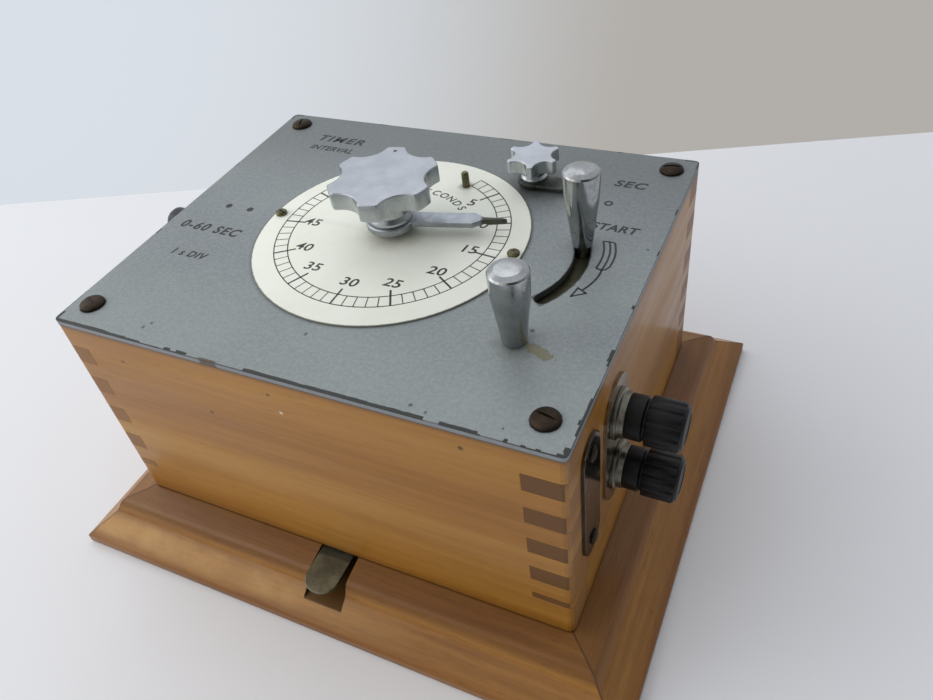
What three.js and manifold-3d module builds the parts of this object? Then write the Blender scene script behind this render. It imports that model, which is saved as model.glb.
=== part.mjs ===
// Clockwork interval timer in a finger-jointed wooden case on a moulded plinth.
// Units are millimetres. Origin: centre of the plinth's underside. +X to the right along the
// front, +Y towards the back, +Z up.
import * as THREE from "three";
import { mergeVertices } from "three/addons/utils/BufferGeometryUtils.js";
import Module from "manifold-3d";

const wasm = await Module();
wasm.setup();

// ---------------------------------------------------------------- angles and points
const rad = (degrees) => (degrees * Math.PI) / 180;
const polar = ([x, y], radius, degrees) => [
  x + radius * Math.cos(rad(degrees)),
  y + radius * Math.sin(rad(degrees)),
];
// direction in degrees from one point to another
const bearing = (from, to) => (Math.atan2(to[1] - from[1], to[0] - from[0]) * 180) / Math.PI;

// ---------------------------------------------------------------- driving dimensions
// case and plinth
const CASE_W = 160, CASE_D = 131, CASE_H = 78;
const WALL = 12, WALL_LEFT = 8;
const CORNER_R = 1.8;                  // easing of the case's upright edges
const PLINTH_H = 17, PLINTH_OUT = 21, PLINTH_IN = 14, PLINTH_EDGE = 3.4;
const HALF_W = CASE_W / 2, HALF_D = CASE_D / 2;
const CASE_BOTTOM = PLINTH_H, CASE_TOP = PLINTH_H + CASE_H;
// the side panels' fingers, from the top down: [upper edge z, lower edge z]
const FINGERS = [[86.8, 80.2], [73.5, 66.9], [60.2, 53.6], [46.9, 40.3], [33.6, 30.7]];

// front latch
const LATCH_X = -1, LATCH_W = 11.8;
const LATCH_REACH = 15.6;              // from the case's front face to the tab's tip
const LATCH_AXIS = [-63.5, 14.8];      // pin's y and z
const NOTCH_X = [-7.3, 6.9];           // left and right sides of the notch in the plinth

// top plate and dial; places are [x, y]
const PLATE_T = 2, DIAL_T = 0.5, DIAL_R = 43.9;
const PLATE_TOP = CASE_TOP + PLATE_T;
const DIAL_TOP = PLATE_TOP + DIAL_T;
const DIAL_CENTRE = [-1, 1.1];
const ARBOR = [-1, 3];                 // axis of dial scale, hand and setting knob
const ARBOR_HOLE_R = 3.4;
const STOP_PIN = [10.9, 32.2], STOP_PIN_HOLE_R = 1.35;
const DIAL_SCREW_HOLE_R = 1.1;
const DIAL_SCREWS = {                  // slot: direction of the head's slot in degrees
  l: { at: [-42.6, 1.1], slot: 70 },
  r: { at: [40.4, 1.0], slot: 35 },
};
const PLATE_SCREWS = {
  fl: { at: [-72.9, -56.3], slot: 62 },
  fr: { at: [71.6, -56.3], slot: 78 },
  rl: { at: [-72, 58], slot: 20 },
  rr: { at: [72.6, 57.9], slot: 100 },
};

// setting knob and hand; angles are degrees from +X
const HAND_ANGLE = 12.7, HAND_L = 36.6, HAND_Z = 100.7, HAND_T = 1.7;
const KNOB_R = 16.8, KNOB_VALLEY_R = 13.3, KNOB_T = 5.8, KNOB_TOP = PLATE_TOP + 20;
const KNOB_BORE_R = 3.06;
const KNOB_PHASE = -17;                // direction of the first lobe on both star knobs

// selector
const SELECTOR = [32.1, 40], SELECTOR_R = 8.7, SELECTOR_ANGLE = -11.8;
const SELECTOR_TOP = PLATE_TOP + 10.7, SELECTOR_BORE_R = 2.56;
const POINTER_Z = 98.2, POINTER_TOP = 99.4;

// start lever, its slot in the top plate, and the fixed grip pillar
const PIVOT = [33, 0.6], LEVER_R = 27.2, LEVER_ANGLE = 21.9, LEVER_SWING = 55.5;
const HANDLE = polar(PIVOT, LEVER_R, LEVER_ANGLE);
const LEVER_Z = 87.5, LEVER_TOP = 90;  // lever arm and toothed sector
const SLOT_W = 4.6, SLOT_SPARE = 1.6;  // spare: degrees added at each end of the swing
const PILLAR = [54.5, -33.2];
// both grips, from the neck to the domed top: [radius, height]
const GRIP = [
  [3.05, 1.2], [3.15, 2.2], [4.15, 10.5], [4.78, 15.2], [5.1, 18.2],
  [5.3, 24.6], [5.0, 25.4], [3.6, 25.9], [0, 26.2],
];

// fittings on the case's sides
const TERMINAL_Y = -29;
const TERMINALS = { upper: 74.5, lower: 53 };  // heights
const COVER_Y = -50.5, COVER_Z = 64.3, COVER_W = 12.5, COVER_H = 46.8;
const COVER_SCREWS = {                 // slot: tilt of the head's slot about X in degrees
  lower: { z: COVER_Z - 17.7, slot: 15 },
  upper: { z: COVER_Z + 17.7, slot: 40 },
};
const FITTING_PLATE_T = 1;
const BUTTON_AXIS = [-2.7, 89.2];      // y and z

// movement: plates' undersides, thickness and tops
const MOVE_POSTS = [[29.9, 19.4], [-25.7, 27.7], [-13, -29.9]];
const UPPER_Z = 76, LOWER_Z = 46, MOVE_PLATE_T = 2;
const UPPER_TOP = UPPER_Z + MOVE_PLATE_T, LOWER_TOP = LOWER_Z + MOVE_PLATE_T;
// meshing pairs: teeth and module
const SECTOR_TEETH = 48, WINDING_TEETH = 12, WINDING_MODULE = 1;
const BARREL_TEETH = 22, MAIN_PINION_TEETH = 10, BARREL_MODULE = 2;
const CENTRE_TEETH = 40, THIRD_PINION_TEETH = 10, CENTRE_MODULE = 1.35;
const THIRD_TEETH = 24, GOVERNOR_TEETH = 10, THIRD_MODULE = 1.5;
const BARREL = [15.995, -24.114];      // 32 mm from ARBOR and 30 mm from PIVOT
const THIRD = [ARBOR[0] - ((CENTRE_TEETH + THIRD_PINION_TEETH) * CENTRE_MODULE) / 2, ARBOR[1]];
const GOVERNOR_ANGLE = 260;            // direction from the third wheel
const GOVERNOR = polar(
  THIRD, ((THIRD_TEETH + GOVERNOR_TEETH) * THIRD_MODULE) / 2, GOVERNOR_ANGLE,
);
const ARBOR_TO_BARREL = bearing(ARBOR, BARREL);
const PIVOT_TO_BARREL = bearing(PIVOT, BARREL);

// ---------------------------------------------------------------- materials
const MATERIALS = {
  wood: { color: 0xb07a42, roughness: 0.45, metalness: 0 },
  woodDark: { color: 0x8f6238, roughness: 0.5, metalness: 0 },
  enamel: { color: 0x8a9296, roughness: 0.45, metalness: 0.2 },
  ivory: { color: 0xe0e3d0, roughness: 0.5, metalness: 0 },
  aluminium: { color: 0xbfc3c8, roughness: 0.35, metalness: 1 },
  nickel: { color: 0xc2c2be, roughness: 0.18, metalness: 1 },
  darkSteel: { color: 0x4a4038, roughness: 0.5, metalness: 0.8 },
  steel: { color: 0x8d9093, roughness: 0.35, metalness: 1 },
  brass: { color: 0xb0924e, roughness: 0.35, metalness: 1 },
  oldBrass: { color: 0x6e6749, roughness: 0.45, metalness: 0.9 },
  bakelite: { color: 0x161618, roughness: 0.4, metalness: 0 },
  insulator: { color: 0x5a3520, roughness: 0.55, metalness: 0 },
};

// ---------------------------------------------------------------- solids and meshes
// A shape is either a three.js geometry or a manifold solid.
function toSolid(shape) {
  if (!shape.isBufferGeometry) return shape;
  const bare = shape.index ? shape.toNonIndexed() : shape.clone();
  bare.deleteAttribute("normal");
  bare.deleteAttribute("uv");
  const merged = mergeVertices(bare, 1e-4);
  return new wasm.Manifold(new wasm.Mesh({
    numProp: 3,
    vertProperties: new Float32Array(merged.attributes.position.array),
    triVerts: new Uint32Array(merged.index.array),
  }));
}
function toGeometry(shape) {
  if (shape.isBufferGeometry) return shape;
  const mesh = shape.getMesh();
  const indexed = new THREE.BufferGeometry();
  indexed.setAttribute("position", new THREE.BufferAttribute(mesh.vertProperties, 3));
  indexed.setIndex(new THREE.BufferAttribute(mesh.triVerts, 1));
  const flat = indexed.toNonIndexed();
  flat.computeVertexNormals();
  return flat;
}
const unite = (...shapes) => shapes.map(toSolid).reduce((a, b) => a.add(b));
const cut = (...shapes) => shapes.map(toSolid).reduce((a, b) => a.subtract(b));
const intersect = (a, b) => toSolid(a).intersect(toSolid(b));

const root = new THREE.Group();
root.name = "interval_timer";
function add(name, material, shape) {
  const mesh = new THREE.Mesh(
    toGeometry(shape), new THREE.MeshStandardMaterial(MATERIALS[material]),
  );
  mesh.name = name;
  root.add(mesh);
}

// ---------------------------------------------------------------- basic shapes
const vectors = (points) => points.map(([x, y]) => new THREE.Vector2(x, y));
// closed profile [radius, z], starting and ending on the axis, turned about +Z at [x, y]
const turned = (profile, [x, y], segments) =>
  new THREE.LatheGeometry(vectors(profile), segments).rotateX(Math.PI / 2).translate(x, y, 0);
// closed profile [radius, x] turned about +X at [y, z]
const turnedX = (profile, [y, z], segments) =>
  new THREE.LatheGeometry(vectors(profile), segments)
    .rotateX(Math.PI / 2).rotateY(Math.PI / 2).translate(0, y, z);
const rodProfile = (radius, start, end) => [[0, start], [radius, start], [radius, end], [0, end]];
const rod = (radius, z0, z1, at, segments) => turned(rodProfile(radius, z0, z1), at, segments);
const rodX = (radius, x0, x1, at, segments) => turnedX(rodProfile(radius, x0, x1), at, segments);
const box = (x0, x1, y0, y1, z0, z1) =>
  new THREE.BoxGeometry(x1 - x0, y1 - y0, z1 - z0)
    .translate((x0 + x1) / 2, (y0 + y1) / 2, (z0 + z1) / 2);
// block turned about Z, cutting the slot of an upright screw
const slotCutter = (length, width, height, angle, [x, y], z) =>
  new THREE.BoxGeometry(width, length, height).rotateZ(angle).translate(x, y, z);
// outline [x, y] extruded from z0 to z1
function slab(outline, z0, z1, holes = [], bevel = 0) {
  const shape = new THREE.Shape(vectors(outline));
  for (const hole of holes) shape.holes.push(new THREE.Path(vectors(hole)));
  return new THREE.ExtrudeGeometry(shape, {
    depth: z1 - z0 - 2 * bevel,
    bevelEnabled: bevel > 0,
    bevelThickness: bevel,
    bevelSize: bevel,
    bevelOffset: -bevel,
    bevelSegments: 1,
  }).translate(0, 0, z0 + bevel);
}
// outline [x, z] extruded from y0 to y1
const slabY = (outline, y0, y1) =>
  slab(outline, 0, y1 - y0).rotateX(Math.PI / 2).translate(0, y1, 0);
// outline [y, z] extruded from x0 to x1
const slabX = (outline, x0, x1, holes = []) =>
  slab(outline, 0, x1 - x0, holes).applyMatrix4(
    new THREE.Matrix4().set(0, 0, 1, x0, 1, 0, 0, 0, 0, 1, 0, 0, 0, 0, 0, 1),
  );

// ---------------------------------------------------------------- outlines
const arc = (centre, radius, from, to, steps) =>
  Array.from({ length: steps + 1 }, (_, i) => polar(centre, radius, from + ((to - from) * i) / steps));
const circle = (centre, radius, count, start = 0) =>
  Array.from({ length: count }, (_, i) => polar(centre, radius, start + (360 * i) / count));
// upright slot shape with round ends
function stadium(x, y, width, height) {
  const radius = width / 2, offset = height / 2 - radius;
  return [
    ...arc([x, y + offset], radius, 0, 180, 10),
    ...arc([x, y - offset], radius, 180, 360, 10),
  ];
}
function roundedRect(halfX, halfY, radius) {
  const x = halfX - radius, y = halfY - radius;
  return [[x, y], [-x, y], [-x, -y], [x, -y]].flatMap((centre, i) =>
    arc(centre, radius, 90 * i, 90 * i + 90, 3));
}
// local points turned by an angle and moved to a centre
function placed(points, [cx, cy], degrees) {
  const cos = Math.cos(rad(degrees)), sin = Math.sin(rad(degrees));
  return points.map(([x, y]) => [cx + x * cos - y * sin, cy + x * sin + y * cos]);
}
// wheel with `teeth` teeth, or only the first `kept`; phase is the angle of the first tooth
function gear(centre, teeth, module, phase, kept = teeth) {
  const pitchR = (teeth * module) / 2, pitch = 360 / teeth;
  const tipR = pitchR + 0.72 * module, rootR = pitchR - 1.15 * module;
  return Array.from({ length: kept }, (_, i) => phase + i * pitch).flatMap((angle) => [
    polar(centre, rootR, angle - 0.30 * pitch),
    polar(centre, tipR, angle - 0.105 * pitch),
    polar(centre, tipR, angle + 0.105 * pitch),
    polar(centre, rootR, angle + 0.30 * pitch),
  ]);
}
// scalloped knob; halfLobe is half a lobe's angle, steps divide each valley between lobes
function star({ centre, lobes, radius, valleyR, phase, halfLobe, steps }) {
  const points = [], pitch = 360 / lobes, shoulderR = radius - 0.25;
  for (let i = 0; i < lobes; i++) {
    const angle = phase + i * pitch;
    points.push(
      polar(centre, shoulderR, angle - halfLobe),
      polar(centre, radius, angle - halfLobe * 0.55),
      polar(centre, radius, angle + halfLobe * 0.55),
      polar(centre, shoulderR, angle + halfLobe),
    );
    for (let j = 1; j < steps; j++) {
      const t = j / steps;
      points.push(polar(
        centre,
        shoulderR - (shoulderR - valleyR) * Math.sin(Math.PI * t),
        angle + halfLobe + (pitch - 2 * halfLobe) * t,
      ));
    }
  }
  return points;
}

// ---------------------------------------------------------------- wooden case
const eased = (panel) => intersect(
  panel, slab(roundedRect(HALF_W, HALF_D, CORNER_R), CASE_BOTTOM - 1, CASE_TOP + 1),
);
// panel whose ends step from left/right to leftStep/rightStep in the fingers' bands
function jointedOutline(left, leftStep, right, rightStep) {
  return [
    [left, CASE_BOTTOM], [right, CASE_BOTTOM],
    ...[...FINGERS].reverse().flatMap(([high, low]) =>
      [[right, low], [rightStep, low], [rightStep, high], [right, high]]),
    [right, CASE_TOP], [left, CASE_TOP],
    ...FINGERS.flatMap(([high, low]) =>
      [[left, high], [leftStep, high], [leftStep, low], [left, low]]),
  ];
}
const pilotHole = (key) => rod(2.05, 88.6, CASE_TOP + 1, PLATE_SCREWS[key].at, 14);
function buildCase() {
  const innerD = HALF_D - WALL, innerRight = HALF_W - WALL, innerLeft = -HALF_W + WALL_LEFT;
  const frontOutline = jointedOutline(-HALF_W, innerLeft, HALF_W, innerRight);
  const sideOutline = jointedOutline(-innerD, -HALF_D, innerD, HALF_D);
  // pocket in the front's inner face for the latch's lip
  const keeper = box(LATCH_X - 7, LATCH_X + 7, -innerD - 1.4, -innerD + 1, 19.2, 24.6);
  add("case_front", "wood", cut(
    eased(slabY(frontOutline, -HALF_D, -innerD)), pilotHole("fl"), pilotHole("fr"), keeper,
  ));
  add("case_rear", "wood", cut(
    eased(slabY(frontOutline, innerD, HALF_D)), pilotHole("rl"), pilotHole("rr"),
  ));
  add("case_left", "wood", cut(
    eased(slabX(sideOutline, -HALF_W, innerLeft)),
    rodX(5.05, -HALF_W - 1, innerLeft + 1, BUTTON_AXIS, 18),
  ));
  add("case_right", "wood", cut(
    eased(slabX(sideOutline, innerRight, HALF_W)),
    ...Object.values(TERMINALS).map((z) =>
      rodX(2.3, innerRight - 1, HALF_W + 1, [TERMINAL_Y, z], 16)),
    ...Object.values(COVER_SCREWS).map(({ z }) =>
      rodX(1.25, HALF_W - 9, HALF_W + 1, [COVER_Y, z], 12)),
  ));
}

// ---------------------------------------------------------------- plinth
// rail section: [distance outwards from the case's face, z]
const MOULDING = [
  [-PLINTH_IN, 0], [PLINTH_OUT, 0], [PLINTH_OUT, PLINTH_EDGE],
  [PLINTH_OUT - 0.7, PLINTH_EDGE + 0.8], [11.4, 10.7], [10.6, 11.9], [9.9, 13.6],
  [9.0, 14.9], [7.8, 15.5], [0, PLINTH_H], [-PLINTH_IN, PLINTH_H],
];
// mitred rail along X at the front of a case with the given half sizes in x and y
function rail(halfX, halfY) {
  // section x goes to -Y (outwards), section y to Z, extrusion to -X
  const moulding = slab(MOULDING, -200, 200).applyMatrix4(
    new THREE.Matrix4().set(0, 0, -1, 0, -1, 0, 0, -halfY, 0, 1, 0, 0, 0, 0, 0, 1),
  );
  const near = -halfY + PLINTH_IN, far = -halfY - PLINTH_OUT;
  const nearX = halfX - PLINTH_IN, farX = halfX + PLINTH_OUT;
  const betweenMitres = slab([[-nearX, near], [-farX, far], [farX, far], [nearX, near]], -1, 20);
  return intersect(moulding, betweenMitres);
}
function buildPlinth() {
  add("plinth_front", "woodDark", cut(
    rail(HALF_W, HALF_D),
    box(...NOTCH_X, -HALF_D - LATCH_REACH, -HALF_D + PLINTH_IN + 5, 8, 20),
    rodX(1.55, NOTCH_X[0] - 4.2, NOTCH_X[1] + 4.2, LATCH_AXIS, 16),
  ));
  const turnedRail = (halfX, halfY, degrees) =>
    toGeometry(rail(halfX, halfY)).rotateZ(rad(degrees));
  add("plinth_rear", "woodDark", turnedRail(HALF_W, HALF_D, 180));
  add("plinth_right", "woodDark", turnedRail(HALF_D, HALF_W, 90));
  add("plinth_left", "woodDark", turnedRail(HALF_D, HALF_W, -90));
  const boardX = HALF_W - PLINTH_IN, boardY = HALF_D - PLINTH_IN;
  add("base_board", "woodDark", box(-boardX, boardX, -boardY, boardY, 0, 7.5));
}

// ---------------------------------------------------------------- front latch
function buildLatch() {
  const pinY = LATCH_AXIS[0], tipY = -HALF_D - LATCH_REACH;
  // [y, z]: tab, knuckle round the pin, inner arm with its hooked lip
  const side = [
    [tipY, 14.9], [pinY - 1.8, 15.2], [pinY - 1.4, 13.6], [pinY, 12.9], [pinY + 1.4, 13.4],
    [pinY + 2.2, 14.0], [-51.8, 13.3], [-51.8, 24.0], [-54.5, 24.0], [-54.5, 22.8],
    [-53.0, 21.8], [-53.0, 14.6], [pinY + 2.6, 15.6], [pinY + 1.4, 16.5],
    [-HALF_D - 0.4, 16.5], [tipY, 16.1],
  ];
  const halfW = LATCH_W / 2, roundY = tipY + halfW;
  const plan = [
    [LATCH_X - halfW, -51], [LATCH_X - halfW, roundY],
    ...arc([LATCH_X, roundY], halfW, 180, 360, 9),
    [LATCH_X + halfW, -51],
  ];
  add("latch_tab", "oldBrass", cut(
    intersect(slabX(side, LATCH_X - 8, LATCH_X + 8), slab(plan, 10, 30)),
    rodX(0.98, LATCH_X - 9, LATCH_X + 9, LATCH_AXIS, 16),
  ));
  add("latch_pin", "steel", rodX(0.93, NOTCH_X[0] - 4, NOTCH_X[1] + 4, LATCH_AXIS, 16));
  // leaf spring [y, z]
  const spring = [
    [-62.8, 8], [-56.4, 8], [-54.4, 12.4], [-53.0, 12.4],
    [-53.0, 12.9], [-54.7, 12.9], [-56.7, 8.5], [-62.8, 8.5],
  ];
  add("latch_spring", "steel", slabX(spring, LATCH_X - 4, LATCH_X + 4));
}

// ---------------------------------------------------------------- top plate
function leverSlot() {
  const halfW = SLOT_W / 2;
  const start = LEVER_ANGLE - LEVER_SWING - SLOT_SPARE, end = LEVER_ANGLE + SLOT_SPARE;
  // half circle round an end of the slot, without the points shared with the long arcs
  const cap = (angle, from) =>
    arc(polar(PIVOT, LEVER_R, angle), halfW, from, from + 180, 6).slice(1, -1);
  return [
    ...arc(PIVOT, LEVER_R + halfW, start, end, 9), ...cap(end, end),
    ...arc(PIVOT, LEVER_R - halfW, end, start, 9), ...cap(start, start + 180),
  ];
}
// holes shared by the top plate and the dial
const dialFixingHoles = () => [
  ...Object.values(DIAL_SCREWS).map(({ at }) => circle(at, DIAL_SCREW_HOLE_R, 12)),
  circle(STOP_PIN, STOP_PIN_HOLE_R, 12),
  circle(ARBOR, ARBOR_HOLE_R, 16),
];
function buildTopPlate() {
  const countersink = (at) => turned([
    [0, CASE_TOP - 1], [1.6, CASE_TOP - 1], [1.6, CASE_TOP + 0.2],
    [3.3, PLATE_TOP + 0.02], [3.3, PLATE_TOP + 1], [0, PLATE_TOP + 1],
  ], at, 12);
  const blank = slab(roundedRect(HALF_W, HALF_D, 1.5), CASE_TOP, PLATE_TOP, [
    ...Object.values(PLATE_SCREWS).map(({ at }) => circle(at, 2.2, 14)),
    ...dialFixingHoles(),
    circle(SELECTOR, 3.1, 16),
    circle(PIVOT, 1.56, 16),
    circle(PILLAR, 2.1, 16),
    leverSlot(),
  ]);
  add("top_plate", "enamel", cut(blank, ...MOVE_POSTS.map(countersink)));
  // raised slotted heads at the four corners, shanks in the case's top edge
  for (const [key, { at, slot }] of Object.entries(PLATE_SCREWS)) {
    const screw = turned([
      [0, 89], [1.9, 89.6], [1.9, PLATE_TOP], [3.85, PLATE_TOP], [3.85, PLATE_TOP + 0.5],
      [3.2, PLATE_TOP + 1.1], [1.9, PLATE_TOP + 1.6], [0, PLATE_TOP + 1.8],
    ], at, 16);
    add("plate_screw_" + key, "darkSteel",
      cut(screw, slotCutter(9, 0.9, 2, rad(slot), at, PLATE_TOP + 1.75)));
  }
}

// ---------------------------------------------------------------- dial and its fixings
function buildDial() {
  add("dial", "ivory",
    slab(circle(DIAL_CENTRE, DIAL_R, 60), PLATE_TOP, DIAL_TOP, dialFixingHoles()));
  for (const [key, { at, slot }] of Object.entries(DIAL_SCREWS)) {
    const screw = turned([
      [0, CASE_TOP], [1.0, CASE_TOP], [1.0, DIAL_TOP], [1.9, DIAL_TOP],
      [1.9, DIAL_TOP + 0.45], [1.4, DIAL_TOP + 0.8], [0, DIAL_TOP + 0.95],
    ], at, 16);
    add("dial_screw_" + key, "oldBrass",
      cut(screw, slotCutter(5, 0.5, 1.4, rad(slot), at, DIAL_TOP + 1.15)));
  }
  add("stop_pin", "oldBrass", turned([
    [0, CASE_TOP], [1.25, CASE_TOP], [1.25, PLATE_TOP + 5.2],
    [0.8, PLATE_TOP + 5.7], [0, PLATE_TOP + 5.8],
  ], STOP_PIN, 14));
}

// ---------------------------------------------------------------- setting knob, hand, main arbor
function buildSettingKnob() {
  const handTop = HAND_Z + HAND_T, hubTop = KNOB_TOP - KNOB_T + 0.5;
  const hub = turned([
    [0, handTop], [7.1, handTop], [7.1, HAND_Z + 3], [6.4, HAND_Z + 4.5],
    [6.4, hubTop], [0, hubTop],
  ], ARBOR, 24);
  const lobes = slab(star({
    centre: ARBOR, lobes: 6, radius: KNOB_R, valleyR: KNOB_VALLEY_R,
    phase: KNOB_PHASE, halfLobe: 10.5, steps: 7,
  }), KNOB_TOP - KNOB_T, KNOB_TOP, [], 0.5);
  add("setting_knob", "aluminium",
    cut(unite(hub, lobes), rod(KNOB_BORE_R, HAND_Z, KNOB_TOP - 2.5, ARBOR, 18)));

  // blade narrowed to a thin tip: [along, across]
  const bladeOutline = [
    [4, -3.0], [26.5, -3.0], [29.6, -0.85], [35.6, -0.6], [HAND_L, 0],
    [35.6, 0.6], [29.6, 0.85], [26.5, 3.0], [4, 3.0],
  ];
  const blade = slab(placed(bladeOutline, ARBOR, HAND_ANGLE), HAND_Z, handTop);
  const boss = turned([
    [0, HAND_Z - 1.1], [7.6, HAND_Z - 1.1], [7.9, HAND_Z - 0.6], [7.9, handTop], [0, handTop],
  ], ARBOR, 24);
  add("time_hand", "aluminium",
    cut(unite(boss, blade), rod(KNOB_BORE_R, HAND_Z - 3, HAND_Z + 3, ARBOR, 18)));

  // arbor with its lower pivot and the cam that works the contact springs
  add("main_arbor", "steel", turned([
    [0, LOWER_Z - 3], [1.9, LOWER_Z - 3], [2.0, LOWER_Z - 2.6], [2.0, LOWER_Z + 3.6],
    [3.0, LOWER_Z + 3.6], [3.0, UPPER_Z - 0.4], [2.0, UPPER_Z - 0.4], [2.0, UPPER_TOP + 0.4],
    [3.0, UPPER_TOP + 0.4], [3.0, 80], [8, 80], [8, 84], [3.0, 84],
    [3.0, KNOB_TOP - 2.8], [0, KNOB_TOP - 2.8],
  ], ARBOR, 18));
}

// ---------------------------------------------------------------- selector
function buildSelector() {
  const hub = turned([
    [0, POINTER_TOP], [4.3, POINTER_TOP], [4.3, 100.2], [3.7, 101],
    [3.9, SELECTOR_TOP - 4], [0, SELECTOR_TOP - 4],
  ], SELECTOR, 18);
  const lobes = slab(star({
    centre: SELECTOR, lobes: 6, radius: SELECTOR_R, valleyR: 5.9,
    phase: KNOB_PHASE, halfLobe: 6.5, steps: 6,
  }), SELECTOR_TOP - 4.4, SELECTOR_TOP, [], 0.35);
  add("selector_knob", "aluminium",
    cut(unite(hub, lobes), rod(SELECTOR_BORE_R, 99, SELECTOR_TOP - 1.6, SELECTOR, 14)));

  // tapered pointer: [along, across]
  const bladeOutline = [
    [0, -4.9], [3.0, -4.4], [11, -2.7], [17.6, -1.0], [19, 0],
    [17.6, 1.0], [11, 2.7], [3.0, 4.4], [0, 4.9],
  ];
  const blade = slab(placed(bladeOutline, SELECTOR, SELECTOR_ANGLE), POINTER_Z, POINTER_TOP);
  const boss = turned([
    [0, 97.3], [4.6, 97.3], [5.4, POINTER_Z], [5.4, POINTER_TOP], [0, POINTER_TOP],
  ], SELECTOR, 18);
  add("selector_pointer", "aluminium",
    cut(unite(boss, blade), rod(SELECTOR_BORE_R, 96, 101, SELECTOR, 14)));

  add("selector_spindle", "steel", turned([
    [0, 82], [1.6, 82], [1.6, 84], [5.5, 84], [5.5, 86], [3.0, 86], [3.0, 97.1],
    [2.5, 97.1], [2.5, SELECTOR_TOP - 1.9], [0, SELECTOR_TOP - 1.9],
  ], SELECTOR, 16));
}

// ---------------------------------------------------------------- start lever
// toothed sector, its teeth running from the winding pinion towards +angle
function leverSector() {
  const pitch = 360 / SECTOR_TEETH, hubR = 5.2, shoulderR = 21.6;
  const lastAngle = PIVOT_TO_BARREL + pitch * 8.2;
  return slab([
    polar(PIVOT, hubR, PIVOT_TO_BARREL - 42),
    polar(PIVOT, shoulderR, PIVOT_TO_BARREL - pitch * 1.6),
    ...gear(PIVOT, SECTOR_TEETH, WINDING_MODULE, PIVOT_TO_BARREL - pitch / 2, 9),
    polar(PIVOT, shoulderR, lastAngle),
    polar(PIVOT, hubR, lastAngle + 12),
  ], LEVER_Z, LEVER_TOP);
}
function buildLever() {
  add("lever_handle", "nickel", turned([
    [0, 87.6], [1.5, 87.6], [1.5, 90.3], [2.0, 90.3], [2.0, PLATE_TOP + 0.8],
    ...GRIP.map(([radius, height]) => [radius, PLATE_TOP + height]),
  ], HANDLE, 20));

  const arm = slab([
    ...arc(HANDLE, 4.2, LEVER_ANGLE - 90, LEVER_ANGLE + 90, 8),
    ...arc(PIVOT, 6.5, LEVER_ANGLE + 90, LEVER_ANGLE + 270, 8),
  ], LEVER_Z, LEVER_TOP);
  const shaft = turned([
    [0, UPPER_Z - 1], [1.5, UPPER_Z - 1], [1.5, UPPER_TOP + 0.3], [3.2, UPPER_TOP + 0.3],
    [3.2, 94.7], [1.5, 94.7], [1.5, PLATE_TOP - 0.2], [0, PLATE_TOP - 0.2],
  ], PIVOT, 14);
  // shutter under the slot: a ring sector wide enough to close it at every lever position,
  // carried by a spoke from the shaft
  const shutterZ = [93.4, 94.2], reach = 64;
  const from = LEVER_ANGLE - reach, to = LEVER_ANGLE + reach;
  const shutter = slab(
    [...arc(PIVOT, 31.4, from, to, 20), ...arc(PIVOT, 23.6, to, from, 20)],
    ...shutterZ, [circle(HANDLE, 2.12, 20)],
  );
  const spoke = slab([
    polar(PIVOT, 2.2, LEVER_ANGLE - 90), polar(PIVOT, 24.2, LEVER_ANGLE - 6),
    polar(PIVOT, 24.2, LEVER_ANGLE + 6), polar(PIVOT, 2.2, LEVER_ANGLE + 90),
  ], ...shutterZ);
  add("lever_arm", "steel", cut(
    unite(arm, leverSector(), shaft, shutter, spoke),
    rod(1.55, LEVER_Z - 1, LEVER_TOP + 0.3, HANDLE, 20),
  ));
}

// ---------------------------------------------------------------- fixed grip pillar
function buildPillar() {
  // its grip has no neck, sits lower than the lever's and is slightly thicker
  const grip = GRIP.slice(2).map(([radius, height]) =>
    [radius ? radius + 0.1 : 0, PLATE_TOP - 2.2 + height]);
  add("grip_pillar", "nickel", turned([
    [0, 90.2], [2.0, 90.2], [2.0, PLATE_TOP], [3.25, PLATE_TOP], [3.4, PLATE_TOP + 0.8], ...grip,
  ], PILLAR, 20));
  add("grip_pillar_nut", "steel",
    slab(circle(PILLAR, 4.6, 6, 10), 91.4, CASE_TOP - 0.02, [circle(PILLAR, 2.08, 16)]));
}

// ---------------------------------------------------------------- terminals, right side
function buildTerminals() {
  const face = HALF_W, outer = face + FITTING_PLATE_T, inner = face - WALL;
  const heights = Object.values(TERMINALS);
  add("terminal_plate", "nickel", slabX(
    stadium(TERMINAL_Y, (heights[0] + heights[1]) / 2, 20, 45), face, outer,
    heights.map((z) => circle([TERMINAL_Y, z], 2.3, 16)),
  ));
  for (const [key, z] of Object.entries(TERMINALS)) {
    const at = [TERMINAL_Y, z];
    const hexHead = slabX(circle(at, 4, 6), inner - 3, inner);
    add("terminal_stud_" + key, "brass",
      unite(hexHead, rodX(1.95, inner - 0.5, face + 17, at, 14)));

    const collar = turnedX([
      [0, outer], [7.5, outer], [7.5, face + 2.2], [6.6, face + 2.6],
      [6.6, face + 4.2], [0, face + 4.2],
    ], at, 20);
    add("terminal_collar_" + key, "nickel", cut(collar, rodX(2.05, face, face + 5, at, 14)));

    const skirt = turnedX([
      [0, face + 4.2], [6.3, face + 4.2], [6.3, face + 8.6], [5.7, face + 9.0],
      [5.7, face + 9.6], [0, face + 9.6],
    ], at, 20);
    const ribs = slabX(star({
      centre: at, lobes: 12, radius: 6.95, valleyR: 6.55, phase: 0, halfLobe: 8, steps: 2,
    }), face + 9.5, face + 18.4);
    const nose = turnedX(
      [[0, face + 18.3], [6.5, face + 18.3], [5.6, face + 19.6], [0, face + 19.6]], at, 18,
    );
    add("terminal_head_" + key, "bakelite",
      cut(unite(skirt, ribs, nose), rodX(2.05, face + 3, face + 17.4, at, 14)));
  }
}

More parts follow.
